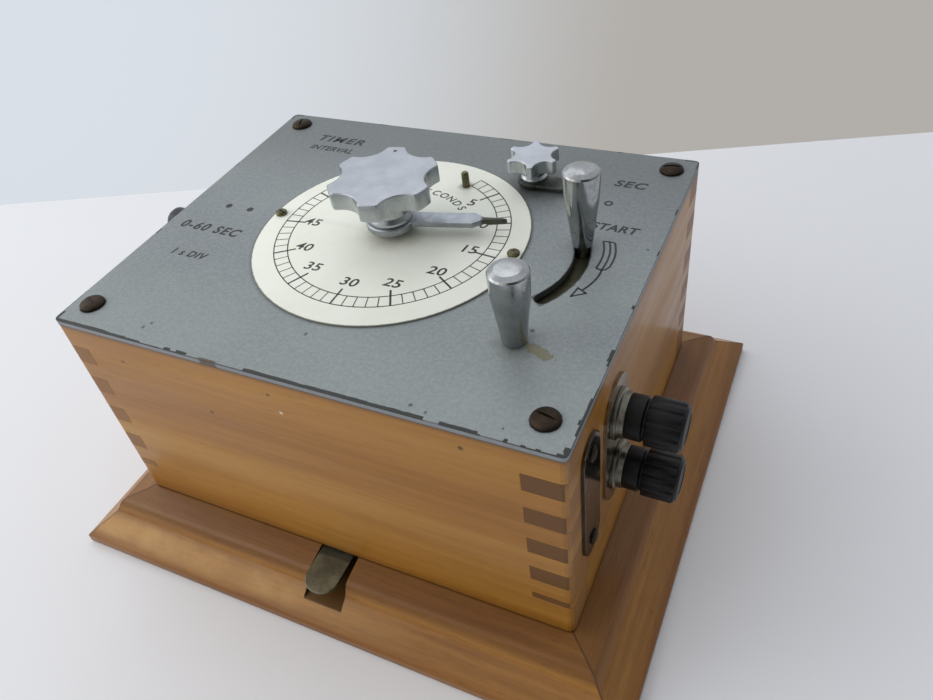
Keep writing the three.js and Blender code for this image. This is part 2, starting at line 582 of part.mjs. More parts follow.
// ---------------------------------------------------------------- cover plate, right side
function buildCover() {
  const face = HALF_W, outer = face + FITTING_PLATE_T;
  add("cover_plate", "nickel", slabX(
    stadium(COVER_Y, COVER_Z, COVER_W, COVER_H), face, outer,
    Object.values(COVER_SCREWS).map(({ z }) => circle([COVER_Y, z], 1.3, 12)),
  ));
  for (const [key, { z, slot }] of Object.entries(COVER_SCREWS)) {
    const screw = turnedX([
      [0, face - 8], [1.15, face - 7.4], [1.15, outer], [2.3, outer],
      [2.2, face + 1.5], [1.3, face + 2.0], [0, face + 2.1],
    ], [COVER_Y, z], 16);
    const cutter = new THREE.BoxGeometry(1.2, 0.5, 6)
      .rotateX(rad(slot)).translate(face + 2.3, COVER_Y, z);
    add("cover_screw_" + key, "darkSteel", cut(screw, cutter));
  }
}

// ---------------------------------------------------------------- push button, left side
function buildButton() {
  const face = -HALF_W, bushEnd = face + WALL_LEFT + 1, stemEnd = face + WALL + 6;
  const bush = turnedX([
    [0, face - 1.2], [5.6, face - 1.2], [5.6, face], [4.95, face], [4.95, bushEnd], [0, bushEnd],
  ], BUTTON_AXIS, 18);
  add("button_bush", "nickel", cut(bush, rodX(3.08, face - 3, bushEnd + 2, BUTTON_AXIS, 18)));
  add("side_button", "darkSteel", turnedX([
    [0, face - 10], [2.6, face - 9.8], [4.1, face - 9.1], [5, face - 7.6], [5, face - 3.8],
    [4.6, face - 3.4], [3, face - 3.4], [3, stemEnd], [0, stemEnd],
  ], BUTTON_AXIS, 18));
}

// ---------------------------------------------------------------- movement frame
function buildMovementFrame() {
  const outline = [
    [-52, -40], [-46, -46], [36, -46], [42, -40], [42, 30], [36, 36], [-46, 36], [-52, 30],
  ];
  const movementPlate = (z, postHoleR, extraHoles) => slab(outline, z, z + MOVE_PLATE_T, [
    ...MOVE_POSTS.map((at) => circle(at, postHoleR, 12)),
    circle(ARBOR, 2.07, 14), circle(BARREL, 2.07, 14),
    circle(THIRD, 1.07, 10), circle(GOVERNOR, 1.07, 10),
    ...extraHoles,
  ]);
  add("movement_plate_upper", "brass", movementPlate(UPPER_Z, 2.66, [circle(PIVOT, 1.58, 12)]));
  add("movement_plate_lower", "brass", movementPlate(LOWER_Z, 3.68, []));
  MOVE_POSTS.forEach((at, i) => {
    const post = turned([
      [0, LOWER_Z - 2], [4.6, LOWER_Z - 2], [4.6, LOWER_Z], [3.5, LOWER_Z], [3.5, UPPER_Z],
      [2.5, UPPER_Z], [2.5, UPPER_TOP + 0.3], [3.5, UPPER_TOP + 0.3],
      [3.5, CASE_TOP], [0, CASE_TOP],
    ], at, 12);
    add(`movement_post_${i + 1}`, "brass",
      cut(post, rod(1.3, CASE_TOP - 6.4, CASE_TOP + 1, at, 10)));
    // countersunk screw through the top plate, its slot turned 0.5 radians from the last
    const screw = turned([
      [0, CASE_TOP - 6], [1.18, CASE_TOP - 6], [1.18, CASE_TOP + 0.25],
      [1.4, CASE_TOP + 0.3], [3.0, PLATE_TOP - 0.05], [0, PLATE_TOP - 0.05],
    ], at, 10);
    add(`movement_screw_${i + 1}`, "steel",
      cut(screw, slotCutter(8, 0.7, 1.2, 0.5 * i, at, PLATE_TOP)));
  });
}

// ---------------------------------------------------------------- winding arbor and barrel
function buildBarrel() {
  const arbor = turned([
    [0, LOWER_Z - 1], [2, LOWER_Z - 1], [2, 57], [3, 57], [3, 68.6], [2, 68.6],
    [2, 90.8], [0, 90.8],
  ], BARREL, 14);
  const pinion = gear(BARREL, WINDING_TEETH, WINDING_MODULE, PIVOT_TO_BARREL + 180);
  add("winding_arbor", "steel", unite(arbor, slab(pinion, 86.7, 90.8)));

  const phase = ARBOR_TO_BARREL + 180 + 180 / BARREL_TEETH;
  const ring = slab(gear(BARREL, BARREL_TEETH, BARREL_MODULE, phase), 51, 54);
  const drum = turned(
    [[0, 51], [14.4, 51], [14.4, 69], [13.4, 69], [13.4, 56], [0, 56]], BARREL, 24,
  );
  add("barrel_drum", "brass", cut(unite(ring, drum), rod(2.07, 50, 57, BARREL, 14)));

  // mainspring: a spiral strip
  const turns = 4.25, steps = 60, thickness = 0.45, startR = 3.9, growth = 8.9;
  const outerEdge = [], innerEdge = [];
  for (let i = 0; i <= steps; i++) {
    const t = i / steps, angle = 360 * turns * t, radius = startR + growth * t;
    outerEdge.push(polar(BARREL, radius, angle));
    innerEdge.unshift(polar(BARREL, radius - thickness, angle));
  }
  add("mainspring", "steel", slab([...outerEdge, ...innerEdge], 56.6, 68));
}

// ---------------------------------------------------------------- gear train
// arbor with a thin pivot in each movement plate
const pivotedArbor = (radius, at) => turned([
  [0, LOWER_Z - 0.4], [1, LOWER_Z - 0.4], [1, LOWER_TOP + 0.4], [radius, LOWER_TOP + 0.4],
  [radius, UPPER_Z - 0.4], [1, UPPER_Z - 0.4], [1, UPPER_TOP + 0.4], [0, UPPER_TOP + 0.4],
], at, 10);
function buildTrain() {
  // centre wheel and barrel pinion, fixed on the main arbor
  add("centre_wheel", "brass", cut(
    unite(
      slab(gear(ARBOR, MAIN_PINION_TEETH, BARREL_MODULE, ARBOR_TO_BARREL), 50.6, 54.4),
      rod(5, 54, 73, ARBOR, 16),
      slab(gear(ARBOR, CENTRE_TEETH, CENTRE_MODULE, 180), 71.2, 73),
    ),
    rod(3.08, 49, 75, ARBOR, 16),
  ));
  const thirdPhase = 180 / THIRD_PINION_TEETH;
  add("third_wheel", "brass", unite(
    pivotedArbor(1.8, THIRD),
    slab(gear(THIRD, THIRD_PINION_TEETH, CENTRE_MODULE, thirdPhase), 70.4, 73.8),
    slab(gear(THIRD, THIRD_TEETH, THIRD_MODULE, GOVERNOR_ANGLE), 63.8, 65.4),
  ));
  const governorPhase = GOVERNOR_ANGLE + 180 + 180 / GOVERNOR_TEETH;
  const vane = (sizeX, sizeY) =>
    new THREE.BoxGeometry(sizeX, sizeY, 9).translate(...GOVERNOR, 54.5);
  add("governor_fly", "steel", unite(
    pivotedArbor(1.6, GOVERNOR),
    slab(gear(GOVERNOR, GOVERNOR_TEETH, THIRD_MODULE, governorPhase), 63, 66.2),
    vane(21, 0.8),
    vane(0.8, 21),
  ));
}

// ---------------------------------------------------------------- contact springs beside the cam
function buildContacts() {
  const springZ = [79.6, 84.4];
  add("contact_block", "insulator", box(-50, -38, 11.9, 14.5, UPPER_TOP, 88));
  add("contact_spring_moving", "brass", slab([
    [-50, 11.4], [-2, 11.4], [-1, 11.2], [0, 11.4], [0, 11.8], [-50, 11.8],
  ], ...springZ));
  add("contact_spring_fixed", "brass", slab([
    [-50, 14.6], [-6, 14.6], [-6, 13.6], [-4.4, 13.6], [-4.4, 14.6], [-3, 14.6],
    [-3, 15.0], [-50, 15.0],
  ], ...springZ));
}

buildCase();
buildPlinth();
buildLatch();
buildTopPlate();
buildDial();
buildSettingKnob();
buildSelector();
buildLever();
buildPillar();
buildTerminals();
buildCover();
buildButton();
buildMovementFrame();
buildBarrel();
buildTrain();
buildContacts();

export default root;
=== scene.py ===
"""An interval timer in a wooden case, with a dial, a setting knob, a selector and a lever on top.

Frame: x to the right, y to the back, z up from the table, origin under the middle of the case.
The binding posts are on the right side and the push button is on the left. Sizes are in
millimetres, angles in degrees; meshes and shader points are scaled where they are made.
"""
import math
from functools import reduce

import bmesh
import bpy
from mathutils import Matrix, Vector
from mathutils.geometry import tessellate_polygon


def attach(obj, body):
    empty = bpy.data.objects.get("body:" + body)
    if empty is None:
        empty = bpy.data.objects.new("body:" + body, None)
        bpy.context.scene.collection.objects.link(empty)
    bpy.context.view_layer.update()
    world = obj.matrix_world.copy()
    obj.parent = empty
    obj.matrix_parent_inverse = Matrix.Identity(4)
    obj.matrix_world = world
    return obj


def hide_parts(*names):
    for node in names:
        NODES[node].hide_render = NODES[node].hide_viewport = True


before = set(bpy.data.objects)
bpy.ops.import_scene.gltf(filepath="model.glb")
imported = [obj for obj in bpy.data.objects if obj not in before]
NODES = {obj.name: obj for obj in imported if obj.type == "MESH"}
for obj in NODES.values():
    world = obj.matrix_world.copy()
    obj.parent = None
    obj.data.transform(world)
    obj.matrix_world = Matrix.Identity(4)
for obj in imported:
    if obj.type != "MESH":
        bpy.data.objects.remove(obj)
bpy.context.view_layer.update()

MM = 0.001
TAU = 2 * math.pi
rad = math.radians


def on_circle(centre, radius, angle):
    """A point on a circle; angle in radians."""
    return (centre[0] + radius * math.cos(angle), centre[1] + radius * math.sin(angle))


def polar(centre, radius, degrees):
    return on_circle(centre, radius, rad(degrees))


# ================================================================ dimensions
CASE_X, CASE_Y = 80.0, 65.5                 # half sizes of the case
CASE_BASE, CASE_TOP = 17.0, 95.0
PLATE_TOP, DIAL_TOP = 97.0, 97.5
ARBOR = (-1.0, 3.0)
DIAL_CENTRE, DIAL_R = (-1.0, 1.1), 43.9
DIAL_SCREWS = [(-42.6, 1.1), (40.4, 1.0)]
PLATE_SCREWS = {"fl": (-72.9, -56.3), "fr": (71.6, -56.3), "rl": (-72.0, 58.0), "rr": (72.6, 57.9)}
STOP_PIN = (10.9, 32.2)
SELECTOR = (32.1, 40.0)
PIVOT, LEVER_R, LEVER_ANGLE = (33.0, 0.6), 27.2, 21.9
HANDLE = polar(PIVOT, LEVER_R, LEVER_ANGLE)
PILLAR = (54.5, -33.2)
POSTS = {"upper": (-29.0, 74.5), "lower": (-29.0, 53.0)}      # y, z


# ================================================================ outlines
def circle(centre, radius, count):
    return [on_circle(centre, radius, TAU * i / count) for i in range(count)]


def bezier(start, control, end, steps):
    start, control, end = map(Vector, (start, control, end))
    return [tuple(start * (1 - t) ** 2 + control * 2 * t * (1 - t) + end * t * t)
            for t in (j / steps for j in range(steps + 1))]


def fillet(points, radius, steps=4, closed=False):
    """Rounds the corners of a polyline. A point may hold its own radius as a third number."""
    count, out = len(points), []
    for i, point in enumerate(points):
        own = point[2] if len(point) > 2 else radius
        if (not closed and i in (0, count - 1)) or own <= 0:
            out.append(tuple(point[:2]))
            continue
        corner = Vector(point[:2])
        back = Vector(points[i - 1][:2]) - corner
        ahead = Vector(points[(i + 1) % count][:2]) - corner
        back_len, ahead_len = back.length, ahead.length
        back, ahead = back / back_len, ahead / ahead_len
        angle = back.angle(ahead)
        if angle > rad(176):
            out.append(tuple(point[:2]))
            continue
        cut = min(own / math.tan(angle / 2), back_len * 0.46, ahead_len * 0.46)
        out += bezier(corner + back * cut, corner, corner + ahead * cut, steps)
    return out


def offset(outline, inset):
    """Moves a closed counter-clockwise outline inwards."""
    out = []
    for i, point in enumerate(outline):
        here = Vector(point)
        before = here - Vector(outline[i - 1])
        after = Vector(outline[(i + 1) % len(outline)]) - here
        normal = Vector((-before.y, before.x)).normalized()
        mitre = normal + Vector((-after.y, after.x)).normalized()
        mitre.normalize()
        out.append(tuple(here + mitre * inset / max(0.5, mitre.dot(normal))))
    return out


def placed(points, centre, turn):
    """Points turned about the origin and moved to centre; a third number is carried along."""
    cos, sin = math.cos(rad(turn)), math.sin(rad(turn))
    return [(centre[0] + x * cos - y * sin, centre[1] + x * sin + y * cos, *rest)
            for x, y, *rest in points]


def pointer_outline(half, centre, turn, steps):
    """half runs along the lower side to the tip: x, y, corner radius. It is mirrored in y."""
    whole = half + [(x, -y, r) for x, y, r in half[-2::-1]]
    return placed(fillet(whole, 0.3, steps, True), centre, turn)


def scallops(centre, rim, hollow_centre, hollow, corner, count=6, phase=-17):
    """A knob outline: a circle of radius rim with round hollows centred at hollow_centre.

    corner is the length eased on both sides of each edge; phase is the angle of one lobe.
    """
    cut = math.acos((rim * rim + hollow_centre ** 2 - hollow * hollow) / (2 * rim * hollow_centre))
    span = math.acos((hollow_centre ** 2 + hollow * hollow - rim * rim)
                     / (2 * hollow_centre * hollow))
    pitch = TAU / count
    half = pitch / 2 - cut                   # half angle of a lobe
    ease = corner / rim
    sweep = span - corner / hollow           # half angle of a hollow, from its own centre
    lobe_steps, hollow_steps, corner_steps = 5, 11, 5
    out = []
    for i in range(count):
        middle = rad(phase) + i * pitch
        lobe = [on_circle(centre, rim, middle + (-half + ease)
                          + (2 * half - 2 * ease) * j / lobe_steps)
                for j in range(lobe_steps + 1)]
        valley = middle + pitch / 2
        pit = on_circle(centre, hollow_centre, valley)
        cave = [on_circle(pit, hollow, valley + math.pi + sweep - 2 * sweep * j / hollow_steps)
                for j in range(hollow_steps + 1)]
        edges = [on_circle(centre, rim, middle + turn)
                 for turn in (half, pitch - half, pitch - half + ease)]
        out += lobe + bezier(lobe[-1], edges[0], cave[0], corner_steps)[1:-1]
        out += cave + bezier(cave[-1], edges[1], edges[2], corner_steps)[1:-1]
    return out


# ================================================================ solids
def link(obj):
    bpy.context.scene.collection.objects.link(obj)
    return obj


def smooth(mesh, angle):
    mesh.polygons.foreach_set("use_smooth", [True] * len(mesh.polygons))
    mesh.set_sharp_from_angle(angle=rad(angle))


def make(name, verts, faces, angle=32, axis="z", weld=True):
    """An object from vertices; with axis x their third number runs along x."""
    if axis == "x":
        verts = [(z, x, y) for x, y, z in verts]
    mesh = bpy.data.meshes.new(name)
    mesh.from_pydata([(x * MM, y * MM, z * MM) for x, y, z in verts], [], faces)
    bm = bmesh.new()
    bm.from_mesh(mesh)
    if weld:
        bmesh.ops.remove_doubles(bm, verts=bm.verts, dist=2e-7)
        bmesh.ops.dissolve_degenerate(bm, edges=bm.edges, dist=1e-7)
    bmesh.ops.recalc_face_normals(bm, faces=bm.faces)
    bm.to_mesh(mesh)
    bm.free()
    smooth(mesh, angle)
    return link(bpy.data.objects.new(name, mesh))


def loft(rings, size):
    """Side faces of consecutive rings that hold size vertices each."""
    faces = []
    for start in range(0, (rings - 1) * size, size):
        for i in range(size):
            a, b = start + i, start + (i + 1) % size
            faces.append((a, b, b + size, a + size))
    return faces


def lathe(name, profile, segments, centre, axis="z", angle=32):
    """Turns (radius, height) about z at (x, y), or about x at (y, z)."""
    verts, rings = [], []
    for radius, height in profile:
        count = 1 if radius < 1e-6 else segments
        rings.append(range(len(verts), len(verts) + count))
        if count == 1:
            verts.append((*centre, height))
        else:
            verts += [(*p, height) for p in circle(centre, radius, segments)]
    pairs = list(zip(rings, rings[1:]))
    if len(rings[0]) > 1:                    # a profile off the axis closes on itself
        pairs.append((rings[-1], rings[0]))
    faces = []
    for low, high in pairs:
        for i in range(segments):
            j = (i + 1) % segments
            if len(low) == 1:
                faces.append((low[0], high[j], high[i]))
            elif len(high) == 1:
                faces.append((low[i], low[j], high[0]))
            else:
                faces.append((low[i], low[j], high[j], high[i]))
    return make(name, verts, faces, angle, axis)


def stack(name, outline, levels, holes=(), axis="z", angle=40):
    """A closed solid of one outline at (height, inset) levels; holes go right through."""
    verts = []
    for height, inset in levels:
        ring = offset(outline, inset) if inset else outline
        verts += [(*p, height) for p in ring]
    size = len(outline)
    faces = loft(len(levels), size)
    ends = [[range(size)], [range(len(verts) - size, len(verts))]]
    for hole in holes:
        loops = []
        for height in (levels[0][0], levels[-1][0]):
            loops.append(range(len(verts), len(verts) + len(hole)))
            verts += [(*p, height) for p in hole]
        low, high = loops
        ends[0].append(low)
        ends[1].append(high)
        for i in range(len(hole)):
            j = (i + 1) % len(hole)
            faces.append((low[i], high[i], high[j], low[j]))
    for loops in ends:
        if not holes:
            faces.append(tuple(loops[0]))
            continue
        indices = [i for loop in loops for i in loop]
        flat_loops = [[Vector((*verts[i][:2], 0)) for i in loop] for loop in loops]
        for triangle in tessellate_polygon(flat_loops):
            faces.append(tuple(indices[i] for i in triangle))
    return make(name, verts, faces, angle, axis)


def cut_box(obj, size, centre, turn=0, axis="Z"):
    """Cuts a box out of an object for good."""
    bm = bmesh.new()
    bmesh.ops.create_cube(bm, size=1.0)
    bmesh.ops.scale(bm, vec=Vector(size) * MM, verts=bm.verts)
    bmesh.ops.rotate(bm, cent=(0, 0, 0), matrix=Matrix.Rotation(rad(turn), 3, axis), verts=bm.verts)
    bmesh.ops.translate(bm, vec=Vector(centre) * MM, verts=bm.verts)
    cutter_mesh = bpy.data.meshes.new("cutter")
    bm.to_mesh(cutter_mesh)
    bm.free()
    cutter = link(bpy.data.objects.new("cutter", cutter_mesh))
    cut = obj.modifiers.new("cut", "BOOLEAN")
    cut.operation, cut.solver, cut.object = "DIFFERENCE", "EXACT", cutter
    graph = bpy.context.evaluated_depsgraph_get()
    result = bpy.data.meshes.new_from_object(obj.evaluated_get(graph))
    old = obj.data
    obj.modifiers.remove(cut)
    obj.data = result
    bpy.data.meshes.remove(old)
    bpy.data.objects.remove(cutter)
    bpy.data.meshes.remove(cutter_mesh)
    result.name = obj.name
    smooth(result, 32)


def bevel(obj, width, segments, angle):
    edge = obj.modifiers.new("edge", "BEVEL")
    edge.width, edge.segments = width * MM, segments
    edge.limit_method, edge.angle_limit = "ANGLE", rad(angle)
    edge.harden_normals = True


def keep_flat(obj):
    """Keeps broad flat faces flat in the shading."""
    normals = obj.modifiers.new("flat", "WEIGHTED_NORMAL")
    normals.mode, normals.weight, normals.keep_sharp = "FACE_AREA", 60, True
    return obj


def put(obj, body, material, slot, *nodes):
    """Gives a new piece its material, its body and the CAD nodes it stands for; slot is not used.
    """
    obj.data.materials.clear()               # a cut mesh could bring slots of its own
    obj.data.materials.append(material)
    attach(obj, body)
    if nodes:
        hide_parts(*nodes)


def dress(node, material, ease=0.0, segments=2, planar=False):
    """Keeps a CAD node and gives it a finish, with its edges eased."""
    obj = NODES[node]
    for material_slot in obj.material_slots:
        material_slot.link = "DATA"
        material_slot.material = material
    if not obj.material_slots:
        obj.data.materials.append(material)
    obj.modifiers.new("weld", "WELD").merge_threshold = 0.004 * MM
    if planar:                               # one face for each flat side
        merge = obj.modifiers.new("planar", "DECIMATE")
        merge.decimate_type, merge.angle_limit = "DISSOLVE", rad(0.5)
    if ease:
        bevel(obj, ease, segments, 30)


# ================================================================ shader helpers
def rgb(red, green, blue):
    """A linear colour from display values of 0 to 255."""
    shares = (c / 255 for c in (red, green, blue))
    return tuple(c / 12.92 if c <= 0.04045 else ((c + 0.055) / 1.055) ** 2.4
                 for c in shares) + (1.0,)


class Value:
    """A node output that takes arithmetic, so that shading reads as formulas."""

    def __init__(self, nodes, socket):
        self.nodes, self.socket = nodes, socket

    def __add__(self, other):
        return self.nodes.math("ADD", self, other)

    def __radd__(self, other):
        return self.nodes.math("ADD", other, self)

    def __sub__(self, other):
        return self.nodes.math("SUBTRACT", self, other)

    def __rsub__(self, other):
        return self.nodes.math("SUBTRACT", other, self)

    def __mul__(self, other):
        return self.nodes.math("MULTIPLY", self, other)

    def __truediv__(self, other):
        return self.nodes.math("DIVIDE", self, other)

    def __pow__(self, other):
        return self.nodes.math("POWER", self, other)

    def __lt__(self, other):
        return self.nodes.math("LESS_THAN", self, other)

    def __gt__(self, other):
        return self.nodes.math("GREATER_THAN", self, other)

    def __abs__(self):
        return self.nodes.math("ABSOLUTE", self)

    def sqrt(self):
        return self.nodes.math("SQRT", self)

    def min(self, other):
        return self.nodes.math("MINIMUM", self, other)

    def max(self, other):
        return self.nodes.math("MAXIMUM", self, other)

    def rise(self, low, high):
        """Smoothly 0 at low to 1 at high."""
        return self.nodes.node("MapRange", {"Value": self, "From Min": low, "From Max": high},
                               interpolation_type="SMOOTHSTEP")

    def fall(self, low, high):
        """Smoothly 1 at low to 0 at high."""
        return 1.0 - self.rise(low, high)

    def ramp(self, *stops, ease="LINEAR"):
        """Stops are (position, colour or grey)."""
        value = self.nodes.node("ValToRGB", {0: self})
        ramp = value.socket.node.color_ramp
        ramp.interpolation = ease
        while len(ramp.elements) > 1:
            ramp.elements.remove(ramp.elements[-1])
        for i, (position, color) in enumerate(stops):
            stop = ramp.elements.new(position) if i else ramp.elements[0]
            stop.position = position
            stop.color = color if isinstance(color, tuple) else (color, color, color, 1)
        return value

    # the methods below work on vectors
    def split(self):
        x = self.nodes.node("SeparateXYZ", {0: self})
        return [Value(self.nodes, socket) for socket in x.socket.node.outputs]

    def minus(self, other):
        return self.nodes.vector("SUBTRACT", self, other)

    def dot(self, other):
        return self.nodes.vector("DOT_PRODUCT", self, other, output="Value")

    def distance(self, x, y, z=0):
        return self.nodes.vector("DISTANCE", self, (x, y, z), output="Value")

    def stretch(self, scale, shift=(0, 0, 0)):
        return self.nodes.vector("MULTIPLY", self.nodes.vector("ADD", self, shift), scale)

    def noise(self, scale, detail=3, rough=0.6, distortion=0.0):
        return self.nodes.node("TexNoise", {
            "Vector": self, "Scale": scale, "Detail": detail, "Roughness": rough,
            "Distortion": distortion}, "Fac")

    def voronoi(self, scale):
        return self.nodes.node("TexVoronoi", {"Vector": self, "Scale": scale}, "Distance")

    def wave(self, scale, distortion, detail_scale, way):
        return self.nodes.node("TexWave", {
            "Vector": self, "Scale": scale, "Distortion": distortion, "Detail": 2,
            "Detail Scale": detail_scale}, "Fac", wave_type="BANDS", bands_direction=way)


class Nodes:
    """A node tree built up from nothing."""

    def __init__(self, tree):
        tree.nodes.clear()
        self.tree = tree

    def feed(self, socket, value):
        if isinstance(value, Value):
            self.tree.links.new(value.socket, socket)
        else:
            socket.default_value = value

    def node(self, kind, inputs, output=0, **settings):
        node = self.tree.nodes.new("ShaderNode" + kind)
        for key, value in settings.items():
            setattr(node, key, value)
        for key, value in inputs.items():
            self.feed(node.inputs[key], value)
        return Value(self, node.outputs[output])

    def end(self, kind, shader):
        self.feed(self.tree.nodes.new("ShaderNodeOutput" + kind).inputs[0], shader)

    def math(self, operation, *values):
        return self.node("Math", dict(enumerate(values)), operation=operation)

    def vector(self, operation, *values, output=0):
        return self.node("VectorMath", dict(enumerate(values)), output, operation=operation)

    def at(self, x, y, z):
        return self.node("CombineXYZ", {0: x, 1: y, 2: z})

    def mix(self, factor, first, second, mode="MIX"):
        """Colours: first where factor is 0, second where it is 1."""
        return self.node("Mix", {0: factor, 6: first, 7: second}, 2,
                         data_type="RGBA", blend_type=mode)

    def lerp(self, factor, first, second):
        return self.node("Mix", {0: factor, 2: first, 3: second}, data_type="FLOAT")


class Material(Nodes):
    """A principled material; color, rough, metallic and the bumps gather until finish."""

    def __init__(self, name):
        self.data = bpy.data.materials.new(name)
        self.data.use_nodes = True
        super().__init__(self.data.node_tree)
        own = self.node("TexCoord", {}, "Object")
        self.point = self.node("VectorMath", {0: own, "Scale": 1000.0}, operation="SCALE")
        self.metallic = 0.0
        self.bumps = None

    def normal(self):
        world = self.node("NewGeometry", {}, "Normal")
        return self.node("VectorTransform", {0: world}, vector_type="NORMAL",
                         convert_from="WORLD", convert_to="OBJECT")

    def tint(self, factor, color, mode="MIX"):
        self.color = self.mix(factor, self.color, color, mode)

    def bump(self, height, strength, step):
        """step is the height of a full step, mm."""
        inputs = {"Strength": strength, "Distance": step * MM, "Height": height}
        if self.bumps:
            inputs["Normal"] = self.bumps
        self.bumps = self.node("Bump", inputs)

    def finish(self, **extra):
        inputs = {"Base Color": self.color, "Roughness": self.rough,
                  "Metallic": self.metallic, "Normal": self.bumps}
        inputs.update((key.replace("_", " "), value) for key, value in extra.items())
        self.end("Material", self.node("BsdfPrincipled", inputs))
        return self.data


# ================================================================ wood
def wood(name, axis, seed, tones, end, gloss=0.34, streak=1.0, spots=1.0):
    """Varnished close-grained hardwood, its grain along x or y.

    tones run from light to dark, end is the end grain, gloss the lowest roughness;
    streak and spots scale the marks of the grain and the specks.
    """
    mat = Material(name)
    light, mid, dark = tones
    shift = (seed * 31.7, seed * 17.3, seed * 23.9)

    def fibres(along, across=1, up=1):
        scale = (along, across, up) if axis == "x" else (across, along, up)
        return mat.point.stretch(scale, shift)

    broad = fibres(0.05).noise(0.055, rough=0.5, distortion=0.6)
    middle = fibres(0.05).noise(0.33, detail=4, distortion=0.4)
    fine = fibres(0.05).noise(2.4)
    mat.color = (broad * 0.62 + middle * 0.38).ramp((0.30, dark), (0.47, mid), (0.62, light))
    mat.tint(fine.rise(0.42, 0.68) * (0.16 * streak), dark, "MULTIPLY")
    # ray flecks: short dark dashes
    dash = fibres(0.16).noise(1.15, detail=2, rough=0.5).rise(0.61, 0.72)
    mat.tint(dash * (0.30 * streak), mat.mix(0.55, dark, (0.03, 0.015, 0.006, 1)))
    # wandering yearly bands
    band = fibres(0.02, 0.55, 0.55).wave(
        0.16, distortion=5.0, detail_scale=0.7, way="Y" if axis == "x" else "X")
    mat.tint(band.rise(0.55, 1.0) * (0.16 * streak), mat.mix(0.5, dark, end))
    # end grain where a face looks along the fibres
    facing = abs(mat.normal().split()["xy".index(axis)]).rise(0.72, 0.9)
    pores = fibres(1).noise(3.2, detail=2, rough=0.7)
    rings = fibres(0.4, 0.4).wave(0.5, distortion=3.0, detail_scale=0.6, way="Z")
    end_color = mat.mix(rings * 0.35, end, mat.mix(0.5, end, dark))
    end_color = mat.mix(pores.rise(0.5, 0.75) * 0.35, end_color, (0.03, 0.015, 0.007, 1))
    mat.tint(facing, end_color)
    # knocks and dark specks in the varnish
    speck = (fibres(1).voronoi(0.042) + mat.point.noise(1.1, detail=2) * 0.022).fall(0.024, 0.046)
    mat.tint(speck * (0.75 * spots), rgb(58, 30, 14))
    bruise = fibres(1, 1, 1.6).noise(0.045, detail=5, rough=0.62)
    mat.tint(bruise.rise(0.60, 0.78) * 0.28, mat.mix(0.5, dark, rgb(60, 34, 18)))
    # varnish, rubbed through in places
    rub = fibres(0.16).noise(0.12, detail=4)
    varnish = mat.lerp(rub.rise(0.35, 0.75), gloss, gloss + 0.16)
    mat.rough = mat.lerp(facing, varnish, gloss + 0.22)
    mat.bump(fine, strength=0.22, step=0.035)
    mat.bump(dash, strength=0.18, step=-0.03)
    mat.bump(fibres(0.05).noise(0.6, detail=2, rough=0.5), strength=0.25, step=0.09)
    mat.bump(speck, strength=0.6, step=-0.12)
    return mat


def case_wood(name, axis, seed, end, streak, marks):
    """marks are knocks on the front: x, z, radius, colour."""
    tones = (rgb(188, 136, 55), rgb(173, 118, 39), rgb(151, 96, 25))
    mat = wood(name, axis, seed, tones, end, streak=streak)
    x, _, z = mat.point.split()
    # painted shade along the foot, where the case meets the plinth, with a dark line in the joint,
    # and painted shade under the plate's edge
    mat.tint(z.fall(CASE_BASE, CASE_BASE + 5.0) * 0.16, rgb(92, 52, 22))
    line = (z - mat.point.noise(0.4) * 0.9).fall(CASE_BASE + 0.25, CASE_BASE + 0.75)
    mat.tint(line * 0.8, rgb(58, 34, 18))
    mat.tint(z.rise(CASE_TOP - 1.6, CASE_TOP - 0.2) * 0.45, rgb(80, 52, 30))
    # painted shade: darker and browner towards the right, where less light falls, and more so
    # towards the foot
    tone = x.rise(-30.0, 80.0) * mat.lerp(z.rise(20.0, 90.0), 0.26, 0.16)
    mat.tint(tone, rgb(112, 70, 24))
    for mark_x, mark_z, radius, color in marks:
        reach = mat.at(x, 0.0, z).distance(mark_x, 0, mark_z)
        reach = reach + mat.point.noise(1.4, detail=2) * 0.9
        mat.tint(reach.fall(radius, radius + 0.5) * 0.8, rgb(*color))
    return mat.finish(Coat_Weight=0.16, Coat_Roughness=0.12, Specular_IOR_Level=0.36)


